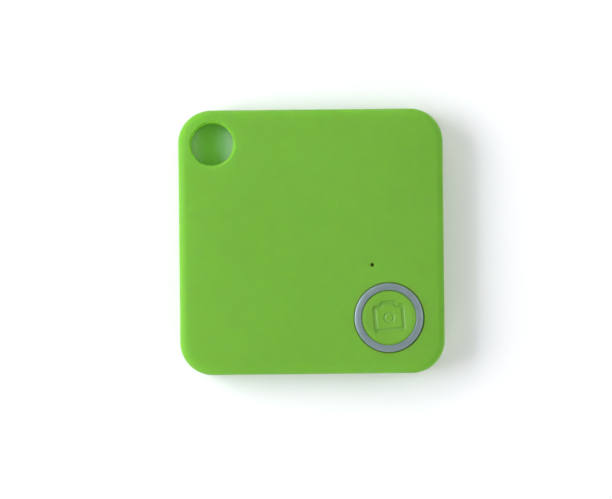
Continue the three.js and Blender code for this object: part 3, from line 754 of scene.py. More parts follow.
    def tidied(self) -> Shape:
        """Merges doubles and turns every face outwards.

        Returns:
            The shape.
        """
        bmesh.ops.remove_doubles(self.mesh, verts=self.mesh.verts, dist=FINE)
        bmesh.ops.recalc_face_normals(self.mesh, faces=self.mesh.faces)
        return self

    def bevel(self, radius: float, steps: int, chosen: Callable[[bmesh.types.BMEdge], bool]) -> Shape:
        """Rounds the chosen edges.

        Args:
            radius: The radius.
            steps: The facets of an edge.
            chosen: Whether an edge is one of them.

        Returns:
            The shape.
        """
        edges = [edge for edge in self.mesh.edges if chosen(edge)]
        bmesh.ops.bevel(self.mesh, geom=edges, offset=radius, offset_type="OFFSET", affect="EDGES",
                        segments=steps, profile=0.5, material=-1, clamp_overlap=False)
        return self

    def broken(self, radius: float, steps: int = 2, least: float = 50.0) -> Shape:
        """Breaks every edge that is sharper than an angle."""
        limit = math.radians(least)
        return self.bevel(radius, steps, lambda edge: edge.calc_face_angle(0.0) > limit)

    def moved(self, x: float = 0.0, y: float = 0.0, z: float = 0.0) -> Shape:
        """Moves the shape."""
        bmesh.ops.translate(self.mesh, vec=(x, y, z), verts=self.mesh.verts)
        return self

    def rotated(self, degrees: float, axis: str = "Z") -> Shape:
        """Turns the shape about an axis through the origin.

        Args:
            degrees: The angle.
            axis: The axis, X, Y or Z.

        Returns:
            The shape.
        """
        turn = Matrix.Rotation(math.radians(degrees), 3, axis)
        bmesh.ops.rotate(self.mesh, cent=(0, 0, 0), matrix=turn, verts=self.mesh.verts)
        return self

    def copied(self) -> Shape:
        """A second shape like this one.

        Returns:
            The copy.
        """
        twin = Shape()
        twin.mesh = self.mesh.copy()
        return twin

    def _stand_in(self) -> Piece:
        """An object that holds the shape while it is combined with others.

        Returns:
            The object.
        """
        mesh = bpy.data.meshes.new("work")
        self.mesh.to_mesh(mesh)
        holder = bpy.data.objects.new("work", mesh)
        bpy.context.scene.collection.objects.link(holder)
        return holder

    def combined(self, action: Combine, others: Iterable[Shape]) -> Shape:
        """Adds, cuts or keeps other shapes, one after the other.

        Args:
            action: What is done.
            others: The other shapes.

        Returns:
            The shape.
        """
        holders = [self._stand_in()]
        for other in others:
            holders.append(other._stand_in())
            step = holders[0].modifiers.new("step", "BOOLEAN")
            step.operation, step.solver, step.object = action.value, "EXACT", holders[-1]
        graph = bpy.context.evaluated_depsgraph_get()
        result = bpy.data.meshes.new_from_object(holders[0].evaluated_get(graph))
        self.mesh.clear()
        self.mesh.from_mesh(result)
        for mesh in [result, *(holder.data for holder in holders)]:
            bpy.data.meshes.remove(mesh)
        bmesh.ops.remove_doubles(self.mesh, verts=self.mesh.verts, dist=FINE / 2)
        bmesh.ops.dissolve_degenerate(self.mesh, edges=self.mesh.edges, dist=FINE / 2)
        return self

    def add(self, *others: Shape) -> Shape:
        """Joins other shapes to this one."""
        return self.combined(Combine.ADD, others)

    def cut(self, *others: Shape) -> Shape:
        """Cuts other shapes out of this one."""
        return self.combined(Combine.CUT, others)

    def keep(self, *others: Shape) -> Shape:
        """Keeps only what lies inside the others."""
        return self.combined(Combine.KEEP, others)


Layer = tuple[Shape, Finish]


def made(name: str, body: Body, slot: str, nodes: Sequence[str], *layers: Layer,
         crease: float = 32.0) -> Piece:
    """Finishes a piece: its mesh in metres, its materials, and its place in the frame.

    Args:
        name: The piece's name.
        body: The body that it rides on.
        slot: The record's material slot; not used.
        nodes: The CAD nodes that it stands for.
        layers: Its shapes, each with the finish that it wears.
        crease: The angle in degrees from which an edge shows as a crease.

    Returns:
        The piece.
    """
    whole, finishes = bmesh.new(), []
    for shape, finish in layers:
        if finish not in finishes:
            finishes.append(finish)
        for face in shape.mesh.faces:
            face.material_index = finishes.index(finish)
            face.smooth = True
        part = bpy.data.meshes.new("part")
        shape.mesh.to_mesh(part)
        whole.from_mesh(part)
        bpy.data.meshes.remove(part)
    bmesh.ops.scale(whole, vec=(MM,) * 3, verts=whole.verts)
    mesh = bpy.data.meshes.new(name)
    whole.to_mesh(mesh)
    mesh.set_sharp_from_angle(angle=math.radians(crease))
    for finish in finishes:
        mesh.materials.append(finish.material())
    piece = bpy.data.objects.new(name, mesh)
    bpy.context.scene.collection.objects.link(piece)
    even = piece.modifiers.new("even shading", "WEIGHTED_NORMAL")
    even.keep_sharp = True
    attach(piece, body.value)
    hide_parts(*nodes)
    return piece


@dataclass(frozen=True)
class Room:
    """The space that a CAD node takes, in millimetres."""

    low: Vector
    high: Vector

    @classmethod
    def of(cls, node: str) -> Room:
        """The room of a node."""
        low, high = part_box(node)
        return cls(low / MM, high / MM)

    @property
    def middle(self) -> Vector:
        """Its centre."""
        return (self.low + self.high) / 2

    @property
    def size(self) -> Vector:
        """Its width, length and height."""
        return self.high - self.low

    @property
    def radius(self) -> float:
        """Half its width."""
        return self.size.x / 2

    @property
    def span(self) -> Spot:
        """A round piece's radius, and the heights of its ends."""
        return self.radius, self.low.z, self.high.z

    def inset(self, by: float, low: float, high: float) -> tuple[Spot, Spot]:
        """The corners of a block that is smaller all round in plan, between two heights."""
        return (self.low.x + by, self.low.y + by, low), (self.high.x - by, self.high.y - by, high)


def room_of(node: str) -> Room:
    """A dataclass field that holds a node's room."""
    return field(default_factory=lambda: Room.of(node))


# ---- Covers ----


@dataclass
class Covers:
    """Both half shells of the case, with the key-ring hole through one corner."""

    corner: float = 4.6
    front_round: float = 1.2
    crown: float = 0.28
    crown_reach: float = 5.5
    rear_round: float = 0.8
    side_wall: float = 1.2
    front_wall: float = 1.1
    rear_wall: float = 1.0
    lip: float = 0.55
    lip_clearance: float = 0.08
    mould_break: float = 0.07
    key_radius: float = 3.0
    key_edge_wall: float = 1.7
    key_front_round: float = 0.5
    key_rear_round: float = 0.4
    key_tube_wall: float = 1.0
    ring_gap: float = 0.1
    ring_drift: Point = (0.04, -0.02)
    ring_seat: float = 5.5
    ring_ledge: float = 0.65
    light_radius: float = 0.25
    snap_length: float = 5.0
    snap_radius: float = 0.3
    snap_proud: float = 0.2
    snap_spread: float = 8.0
    notch: tuple[float, float, float] = (8.0, 0.5, 0.7)
    well_clearance: float = 0.35
    well_wall: float = 0.7
    well_height: float = 0.85
    spring_way: float = 5.0
    buzzer_seat: float = 0.9
    buzzer_rim: float = 0.5
    buzzer_clearance: float = 0.1
    sound_hole: float = 0.45
    sound_ring: float = 2.2
    boss: float = 1.65
    pilot: float = 0.7
    button_post: float = 1.5
    pin: float = 1.1
    front: Room = room_of("front_cover")
    rear: Room = room_of("rear_cover")

    def __post_init__(self) -> None:
        """Works out the places that several shapes share."""
        inset = self.key_radius + self.key_edge_wall
        self.key = (self.front.low.x + inset, self.front.high.y - inset)
        self.ceiling = self.front.high.z - self.front_wall
        self.parting = self.front.low.z - 0.05
        self.lip_top = self.rear.high.z
        self.lip_inset = self.side_wall - self.lip
        self.tube = self.key_radius + self.key_tube_wall
        self.collar = self.tube - self.lip + self.lip_clearance / 2
        self.button = Room.of("button_ring").middle
        self.ring_hole = Room.of("button_ring").radius + self.ring_gap
        self.screws = [Room.of(f"board_screw_{i}").middle for i in (1, 2, 3)]
        # The covers' plastic, with a painted glow on the lower walls of the key-ring hole.
        self.plastic = replace(LIME, hole=(*self.key, self.key_radius))

    def outline(self, inset: float, low: float, high: float, top: float = 0.0, bottom: float = 0.0) -> Shape:
        """The case's outline taken in all round, between two heights, with rounds to its faces.

        Args:
            inset: How far in from the sides.
            low: The lower height.
            high: The upper height.
            top: The radius round the upper face.
            bottom: The radius round the lower face.

        Returns:
            The block.
        """
        corner = max(self.corner - inset, 0.2)
        return Shape.block(*self.front.inset(inset, low, high), corner, top, bottom, (18, 8))

    def loop(self, inset: float, height: float, steps: int = 16) -> list[Spot]:
        """The outline taken in all round, as a ring of points at a height.

        Args:
            inset: How far in from the sides.
            height: The ring's height.
            steps: The facets of a corner.

        Returns:
            The points.
        """
        radius = max(self.corner - inset, 0.3)
        half_x, half_y = self.front.high.x - inset - radius, self.front.high.y - inset - radius
        centres = [(half_x, half_y), (-half_x, half_y), (-half_x, -half_y), (half_x, -half_y)]
        points = []
        for quarter, (x, y) in enumerate(centres):
            start = quarter * 90
            points += [(*point, height) for point in arc(x, y, radius, start, start + 90, steps)]
        return points

    def crowned(self) -> Shape:
        """The front shell's outside: upright sides, a round edge, and a face that falls near its edges.

        Returns:
            The solid outside.
        """
        base, top, r, reach = self.front.low.z, self.front.high.z, self.front_round, self.crown_reach

        def face(inset: float) -> float:
            """The height of the face at a distance from the side."""
            return top - self.crown * (1 - inset / reach) ** 2

        slope = math.degrees(2 * self.crown * (1 - r / reach) / reach)
        start = r - r * math.sin(math.radians(slope))
        middle = face(start) - r * math.cos(math.radians(slope))
        edge = arc(r, middle, r, 180, 90 + slope, 10)
        crown = [(inset, face(inset)) for inset in (start + (reach - start) * i / 9 for i in range(1, 10))]
        profile = [(self.mould_break, base), (0.0, base + self.mould_break), *edge, *crown]
        return Shape.lofted([self.loop(*point) for point in profile])

    def key_bore(self) -> Shape:
        """What the key-ring hole takes away, with a round lip at each face.

        Returns:
            The cutting shape.
        """
        top, r = self.front.high.z, self.key_radius
        front, rear = self.key_front_round, self.key_rear_round
        section = [(0, -PAST), (r + rear, -PAST), *arc(r + rear, rear, rear, -90, -180, 8),
                   *arc(r + front, top - front, front, 180, 90, 12), (r + front, top + PAST), (0, top + PAST)]
        return Shape.turned(section, self.key, 112)

    def snaps(self, ease: float) -> list[Shape]:
        """The eight snap beads, or with an ease all round, the pockets for them.

        Args:
            ease: The clearance round a bead.

        Returns:
            The beads.
        """
        reach = self.snap_length / 2 + ease
        radius = self.snap_radius + ease
        height = self.parting + 0.5
        inset = self.lip_inset - self.snap_proud + self.snap_radius
        section = [(0, -reach), (radius, -reach, radius * 0.7), (radius, reach, radius * 0.7), (0, reach)]
        half_x, half_y = self.front.high.x - inset, self.front.high.y - inset
        beads = []
        for side in (-1, 1):
            for spread in (-self.snap_spread, self.snap_spread):
                lying = Shape.turned(section, steps=16).rotated(90, "X")
                beads.append(lying.copied().moved(side * half_x, spread, height))
                beads.append(lying.rotated(90).moved(spread, side * half_y, height))
        return beads

    def pin_marks(self, places: Sequence[Point], low: float, high: float) -> list[Shape]:
        """The shallow round marks that ejector pins leave."""
        return [Shape.disc(self.pin, low, high, spot, 40) for spot in places]

    def make_front(self) -> Piece:
        """The upper shell: face, side walls, key-hole tube, and the button's seat and collar.

        Returns:
            The piece.
        """
        base, top = self.front.low.z, self.front.high.z
        shell = self.crowned()
        tube = Shape.disc(self.tube, base, self.ceiling + 0.5, self.key).keep(shell.copied())
        spigot = Shape.disc(self.collar - self.lip_clearance, -PAST, top, self.key)
        lip_room = self.outline(self.lip_inset - self.lip_clearance, 0, self.lip_top + self.lip_clearance)
        flange = Room.of("button_cap").radius + 0.3
        low, high = self.ceiling - 0.7, self.ceiling + SEAT
        collar = Shape.turned([(flange, low, 0.12), (flange + 0.6, low, 0.12), (flange + 0.6, high),
                               (flange, high)], self.button, 96)
        hollow = self.outline(self.side_wall, 0, self.ceiling, top=0.25)
        hole, seat = self.ring_hole, self.ring_seat
        recess = (self.button.x + self.ring_drift[0], self.button.y + self.ring_drift[1])
        led = Room.of("led_base").middle
        tools = [
            self.key_bore(),
            Shape.bore(hole, seat, top, 0.12, recess, 128, 5),
            Shape.disc(hole - self.ring_ledge, 0, seat + 0.3, self.button),
            Shape.bore(self.light_radius, 0, top, 0.05, led, 40, 4),
            *self.snaps(self.lip_clearance),
            *self.pin_marks([(-13, -13), (13, 13), (-1, 13.5), (-13, 1)], self.ceiling - 0.3,
                            self.ceiling + 0.05),
        ]
        shell.cut(hollow).add(tube).cut(lip_room.cut(spigot)).add(collar).cut(*tools)
        return made("front_shell", Body.FRONT, "cover_plastic", ["front_cover"], (shell, self.plastic))

    def _sound_holes(self) -> list[Shape]:
        """The holes through the rear wall over the buzzer, with a small round at the outside.

        Returns:
            The shapes.
        """
        middle = Room.of("buzzer_plate").middle
        r, ease = self.sound_hole, 0.12
        top = self.rear_wall + 0.3
        section = [(0, -PAST), (r + ease, -PAST), *arc(r + ease, ease, ease, -90, -180, 5), (r, top),
                   (0, top)]
        spots = [(0.0, 0.0), *arc(0, 0, self.sound_ring, 0, 300, 5)]
        return [Shape.turned(section, (middle.x + x, middle.y + y), 32) for x, y in spots]

    def _fittings(self) -> list[Shape]:
        """What stands on the rear cover's floor: key-hole collar, cell well, buzzer seat and posts.

        Returns:
            The shapes.
        """
        floor, mid = self.rear_wall, self.rear_wall / 2
        cell, buzzer = Room.of("cell_can"), Room.of("buzzer_plate")
        well, top = cell.radius + self.well_clearance, floor + self.well_height
        wall = Shape.tube(well, well + self.well_wall, mid, top, cell.middle, 112, 0.12)
        way_low = (cell.middle.x, cell.middle.y - self.spring_way / 2, floor)
        way_high = (cell.middle.x + 2 * well, cell.middle.y + self.spring_way / 2, top + PAST)
        wall.cut(Shape.block(way_low, way_high)).keep(self.outline(self.side_wall / 2, 0, 6))
        radius, seat_top, rim_top = buzzer.radius, Room.of("buzzer_tape").low.z - SEAT, buzzer.high.z - SEAT
        seat = Shape.tube(radius - self.buzzer_seat, radius + 0.2, mid, seat_top, buzzer.middle)
        rim = Shape.tube(radius + self.buzzer_clearance, radius + self.buzzer_rim, mid, rim_top,
                         buzzer.middle, rim=0.08)
        post_top = Room.of("main_board").low.z - SEAT
        spots = [(self.button_post, self.button), *((self.boss, spot) for spot in self.screws)]
        posts = [Shape.turned([(0, mid), (r, mid), (r, post_top, 0.1), (0, post_top)], spot, 48)
                 for r, spot in spots]
        collar = Shape.tube(self.collar, self.tube, floor, self.lip_top, self.key, rim=0.1)
        return [collar, wall, seat, rim, *posts]

    def make_rear(self) -> Piece:
        """The lower shell: tray, lip with snap beads, fittings, sound holes and the pry notch.

        Returns:
            The piece.
        """
        floor, parting = self.rear_wall, self.parting
        tray = self.outline(0, 0, parting, self.mould_break, self.rear_round)
        tube = Shape.disc(self.tube, 0, parting, self.key).keep(tray.copied())
        lip = self.outline(self.lip_inset, floor, self.lip_top, top=0.12)
        lip.cut(self.outline(self.side_wall, 0, self.lip_top + PAST))
        tray.cut(self.outline(self.side_wall, floor, parting + PAST, bottom=0.2))
        width, depth, height = self.notch
        notch = Shape.bar(width, 2 * depth, parting - height, parting + PAST, 0.2, bottom=0.15, steps=(4, 3))
        notch.moved(0, self.rear.low.y)
        pilots = [Shape.disc(self.pilot, floor, parting + PAST, spot, 32) for spot in self.screws]
        marks = self.pin_marks([(-13, -13), (10.5, -2), (-2, 14)], floor - 0.05, floor + 0.3)
        tray.add(lip, tube, *self._fittings(), *self.snaps(0))
        tray.cut(self.key_bore(), notch, *self._sound_holes(), *pilots, *marks)
        return made("rear_shell", Body.REAR, "cover_plastic", ["rear_cover"], (tray, self.plastic))

    def build(self) -> list[Piece]:
        """Makes both covers."""
        return [self.make_front(), self.make_rear()]


# ---- Button ----


@dataclass
class Button:
    """The trim ring, and the dished cap with its engraved camera sign."""

    edge_round: float = 0.22
    inner_round: float = 0.08
    fall: float = 0.09
    cap_radius: float = 3.82
    cap_gap: float = 0.04
    cap_dish: float = 0.28
    cap_round: float = 0.07
    cap_shoulder: float = 0.6
    cap_fall: float = 0.06
    cap_wall: float = 0.65
    cap_sag: float = 0.03
    cap_step: float = 5.08
    post: float = 1.6
    socket: float = 0.95
    sign_half: float = 1.95
    sign_base: float = -1.66
    sign_shoulder: float = 1.55
    sign_hump: float = 2.04
    sign_hump_half: float = 1.0
    sign_line: float = 0.56
    sign_depth: float = 0.15
    sign_turn: float = 4.5
    sign_shift: float = 0.07
    lens: float = 0.64
    lens_line: float = 0.42
    ring: Room = room_of("button_ring")
    cap: Room = room_of("button_cap")

    def make_ring(self) -> Piece:
        """The ring, with a crowned face and round edges.

        Returns:
            The piece.
        """
        outer, base, top = self.ring.span
        inner = self.cap_radius + self.cap_gap
        section = [(inner, base, 0.06), (outer, base, 0.06), (outer, top - self.fall, self.edge_round),
                   (inner + 0.42 * (outer - inner), top, 1.5), (inner, top - 0.02, self.inner_round)]
        ring = Shape.turned(section, self.ring.middle, 160, 3)
        satin = TurnedMetal("satin_silver", 0x92a4a7, 0.42, centre=tuple(self.ring.middle.xy), metallic=0.6)
        return made("trim_ring", Body.FRONT, "ring_metal", ["button_ring"], (ring, satin))

    def camera_outline(self, grow: float, height: float) -> list[Spot]:
        """The sign's outline grown all round, at a height, with round corners.

        Args:
            grow: How far it is grown.
            height: The height.

        Returns:
            The points.
        """
        side, hump = self.sign_half + grow, self.sign_hump_half + grow
        base, shoulder, top = self.sign_base - grow, self.sign_shoulder + grow, self.sign_hump + grow
        outer, inner = max(0.3 + grow, 0.04), max(0.25 - grow, 0.04)
        right = [(side, base, outer), (side, shoulder, outer), (hump, shoulder, inner), (hump, top, outer)]
        left = [(-x, y, r) for x, y, r in reversed(right)]
        return [(x, y, height) for x, y in softened(right + left, pace=20)]

    def sign_cutter(self, face: float) -> list[Shape]:
        """The sign's lines, with sloped walls and a soft floor, as the shapes that cut them.

        Args:
            face: The height of the dish's middle.

        Returns:
            The cutting shapes.
        """
        half, depth = self.sign_line / 2, self.sign_depth
        steps = [(half * 0.15, -depth), (half * 0.4, -depth * 0.88), (half * 0.85, -depth * 0.22),
                 (half * 1.05, 0.02), (half * 1.5, 0.25)]
        body = Shape.lofted([self.camera_outline(grow, face + z) for grow, z in steps])
        core_steps = [(steps[0][0], -depth - 0.2), *steps, (half * 1.5, 0.5)]
        body.cut(Shape.lofted([self.camera_outline(-grow, face + z) for grow, z in core_steps]))
        line = self.lens_line / 2
        wall = [(1.4, 0.25), (1.1, 0.02), (0.85, -depth * 0.2), (0.25, -depth * 0.9)]
        lens = [(self.lens - line * reach, face + z) for reach, z in wall] + [(self.lens, face - depth)]
        lens += [(self.lens + line * reach, face + z) for reach, z in reversed(wall)]
        tools = [body, Shape.turned(lens, steps=64)]
        x, y = self.cap.middle.xy
        return [tool.rotated(self.sign_turn).moved(x + self.sign_shift, y) for tool in tools]

    def make_cap(self) -> Piece:
        """The cap: dish, rim, flange and the post round the switch's stem.

        Returns:
            The piece.
        """
        top, base, r = self.cap.high.z, self.cap.low.z, self.cap_radius
        flange, step = self.cap.radius - self.cap_sag, self.cap_step
        roof, stem_top = top - self.cap_dish - self.cap_wall, Room.of("switch_stem").high.z + SEAT
        rim, post_base, edge = r - self.cap_shoulder, base + 0.04, top - self.cap_fall
        shares = [1 - i / 14 for i in range(15)]
        dish = [(rim * share, top - self.cap_dish * (1 - share * share)) for share in shares]
        shoulder = [(rim + (self.cap_shoulder - self.cap_round) * t, top - self.cap_fall * t * t)
                    for t in (1, 0.8, 0.6, 0.4, 0.2)]
        inner = r - self.cap_wall
        section = [(0, stem_top), (self.socket, stem_top), (self.socket, post_base),
                   (self.post, post_base, 0.08), (self.post, roof, 0.1), (inner, roof, 0.15),
                   (inner, base, 0.05), (flange, base, 0.08), (flange, step, 0.05), (r, step, 0.08),
                   *arc(r - self.cap_round, edge - self.cap_round, self.cap_round, 0, 60, 5),
                   *shoulder, *dish]
        cap = Shape.turned(section, self.cap.middle, 128)
        cap.cut(*self.sign_cutter(top - self.cap_dish)).moved(0, -self.cap_sag)
        return made("push_cap", Body.BUTTON, "cap_plastic", ["button_cap"], (cap, CAP_LIME), crease=28)

    def build(self) -> list[Piece]:
        """Makes the ring and the cap."""
        return [self.make_ring(), self.make_cap()]


# ---- Switch ----


@dataclass
class Switch:
    """The push switch under the button: base, snap dome, stem and frame."""

    well: float = 1.6
    well_floor: float = 0.1
    stem: float = 0.85
    stem_flange: float = 1.3
    stem_flange_thickness: float = 0.16
    nub: float = 0.5
    leg: float = 1.2
    plate: float = 0.1
    dome_sheet: float = 0.05
    pressed: float = 0.3  # the share of its height that the dome keeps when it is pressed
    base: Room = room_of("switch_base")

    def make_base(self) -> Piece:
        """The moulded base with its round well.

        Returns:
            The piece.
        """
        low, high = self.base.low, self.base.high
        floor, middle = low.z + self.well_floor, self.base.middle
        block = Shape.block(low, high, corner=0.35, top=0.05, steps=(5, 2))
        block.cut(Shape.turned([(0, floor), (self.well, floor), (self.well, high.z - 0.06),
                                (self.well + 0.08, high.z + 0.02), (self.well + 0.08, high.z + PAST),
                                (0, high.z + PAST)], middle, 64))
        return made("switch_body", Body.REAR, "black_resin", ["switch_base"], (block, EPOXY))

    def make_dome(self) -> Piece:
        """The snap dome.

        Returns:
            The piece.
        """
        room = Room.of("switch_dome")
        radius, foot, rise = room.radius, room.low.z, room.size.z - self.dome_sheet
        under = [(radius * i / 10, foot + rise * (1 - (i / 10) ** 2)) for i in range(11)]
        over = [(r, z + self.dome_sheet) for r, z in reversed(under)]
        dome = Shape.turned([*under, *over], room.middle, 64)
        piece = made("snap_dome", Body.REAR, "steel", ["switch_dome"], (dome, BRIGHT_STEEL))
        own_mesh(piece)
        return piece

    def make_stem(self) -> Piece:
        """The stem: a nub on the dome, a flange under the frame, and a post with a round top.

        Returns:
            The piece.
        """
        room = Room.of("switch_stem")
        low, top, flange = room.low.z, room.high.z, self.base.high.z
        under = flange - self.stem_flange_thickness
        section = [(0, low), (self.nub, low, 0.06), (self.nub, under, 0.05),
                   (self.stem_flange, under, 0.04), (self.stem_flange, flange, 0.04),
                   (self.stem, flange, 0.04), (self.stem, top, 0.14), (0, top)]
        return made("press_stem", Body.STEM, "black_resin", ["switch_stem"],
                    (Shape.turned(section, room.middle, 64), EPOXY))

    def make_frame(self) -> Piece:
        """The stamped frame: a lid with a hole for the stem, and a leg down each side.

        Returns:
            The piece.
        """
        room = Room.of("switch_frame")
        middle, low, high = room.middle, room.low, room.high
        lid = Shape.block((low.x, low.y, high.z - self.plate), high, corner=0.3, top=0.04, steps=(5, 3))
        left, right = middle.x - self.leg / 2, middle.x + self.leg / 2
        legs = [Shape.block((left, y, low.z), (right, y + self.plate, high.z - 0.03))
                for y in (low.y, high.y - self.plate)]
        hole = Shape.turned([(0, low.z), (self.stem + 0.1, low.z), (self.stem + 0.1, high.z - 0.04),
                             (self.stem + 0.16, high.z + 0.02), (self.stem + 0.16, high.z + PAST),
                             (0, high.z + PAST)], middle, 64)
        gaps = ((low.x - PAST, left - 0.25), (right + 0.25, high.x + PAST))
        sides = [Shape.block((start, y, low.z), (end, y + 0.12, high.z + PAST))
                 for start, end in gaps for y in (low.y - 0.02, high.y - self.plate)]
        pegs = [Shape.turned([(0, high.z - 0.05), (0.22, high.z - 0.05), (0.22, high.z + 0.05, 0.05),
                              (0, high.z + 0.05)], (middle.x + x, middle.y + y), 20)
                for x in (-1.65, 1.65) for y in (-1.65, 1.65)]
        lid.add(*legs).cut(hole, *sides)
        return made("switch_lid", Body.REAR, "steel", ["switch_frame"], (lid, BRIGHT_STEEL),
                    *((peg, EPOXY) for peg in pegs))

    def build(self) -> list[Piece]:
        """Makes the four pieces."""
        return [self.make_base(), self.make_dome(), self.make_stem(), self.make_frame()]


# ---- Board ----


# Each track: the node that it leaves, then its offset there, the node that it reaches, and its offset there.
TRACKS: tuple[tuple[str, tuple[tuple[Point, str, Point], ...]], ...] = (
    ("radio_chip", (((2.7, 1.2), "radio_crystal", (-0.9, 1.3)), ((2.7, 0.4), "radio_crystal", (-0.9, -1.3)),
        ((2.7, -1.4), "capacitor_4", (-0.9, 0.2)), ((1.6, 2.7), "antenna_trace", (-3.3, -1.4)),
        ((-0.9, 2.7), "capacitor_5", (-0.6, -0.3)), ((-2.7, 1.7), "capacitor_2", (0.2, 0.6)),
        ((-2.7, 0.9), "capacitor_2", (0.2, -0.6)), ((-2.7, -0.9), "capacitor_1", (0.2, 0.5)),
        ((-2.7, -1.7), "capacitor_1", (0.2, -0.6)), ((-1.2, -2.7), "clock_crystal", (-1.3, 0.5)),
        ((-0.4, -2.7), "clock_crystal", (1.3, 0.5)), ((1.2, -2.7), "led_base", (0.4, 5.5)))),
    ("led_base", (((0.4, 5.5), "led_base", (0.4, 0.4)),)),
    ("resistor_3", (((0.9, 0.0), "switch_base", (3.2, 9.0)),)),
    ("switch_base", (((3.2, 9.0), "switch_base", (2.3, 1.2)),)),
    ("led_base", (((0.8, 0.0), "resistor_4", (-0.7, 0.0)),)),
    ("resistor_4", (((0.8, 0.0), "switch_base", (1.6, 2.5)),)),
    ("capacitor_4", (((0.9, 0.0), "resistor_3", (-0.7, 0.0)),)),
    ("capacitor_1", (((-0.2, -0.6), "buzzer_driver", (1.0, 0.7)),)),
    ("capacitor_3", (((0.0, -0.7), "resistor_1", (0.0, 0.6)),)),
    ("resistor_2", (((0.8, 0.0), "capacitor_3", (-0.3, 0.0)), ((-0.8, 0.0), "buzzer_coil", (1.2, -0.4)))),
    ("buzzer_driver", (((-0.9, 0.7), "buzzer_coil", (0.8, -1.5)),
        ((-0.9, -0.7), "buzzer_coil", (-4.6, -4.2)))),
    ("buzzer_coil", (((-0.8, 1.6), "buzzer_coil", (-0.8, 5.6)), ((-0.8, 5.6), "capacitor_5", (-5.6, 2.2)))),
    ("capacitor_5", (((-5.6, 2.2), "capacitor_5", (-0.7, 0.6)),)),
    ("capacitor_2", (((0.0, 0.9), "capacitor_5", (-2.0, 1.2)),)),
    ("radio_crystal", (((1.0, 1.4), "antenna_trace", (5.2, -2.6)),)),
    ("switch_base", (((-2.3, 1.2), "switch_base", (-5.2, 3.6)), ((-2.3, -1.2), "switch_base", (-5.0, -3.8)),
        ((2.3, -1.2), "switch_base", (4.6, -4.0)))),
)
# The plated holes that join the board's two faces.
VIAS: tuple[Point, ...] = (
    (8.85, 2.2), (13.9, -1.7), (5.5, -7.1), (5.7, -14.5), (15.3, -14.7), (15.6, 7.0), (15.0, 11.0),
    (-7.2, 15.2), (-1.6, 15.2), (2.0, 14.2), (-11.0, 5.4), (-12.6, 7.6), (7.7, 4.9), (12.9, 3.4),
    (3.2, 15.6), (15.4, 4.6), (6.2, -12.0), (15.2, -5.0), (-3.4, 12.6), (12.0, -15.2), (8.4, -15.6),
    (1.6, 5.6),
)
LEAD_PADS: tuple[Point, ...] = ((2.58, 3.73), (3.73, 2.58))  # where the buzzer's leads are soldered
# The parts with printed corners round them, and how far the corners stand off.
SILK_FRAMES = (("radio_chip", 0.45), ("switch_base", 0.6), ("buzzer_coil", 0.35), ("radio_crystal", 0.35),
               ("clock_crystal", 0.3), ("led_base", 0.3))
CLIP_TURNS = (20, 70)  # the angles of the clips round the cell


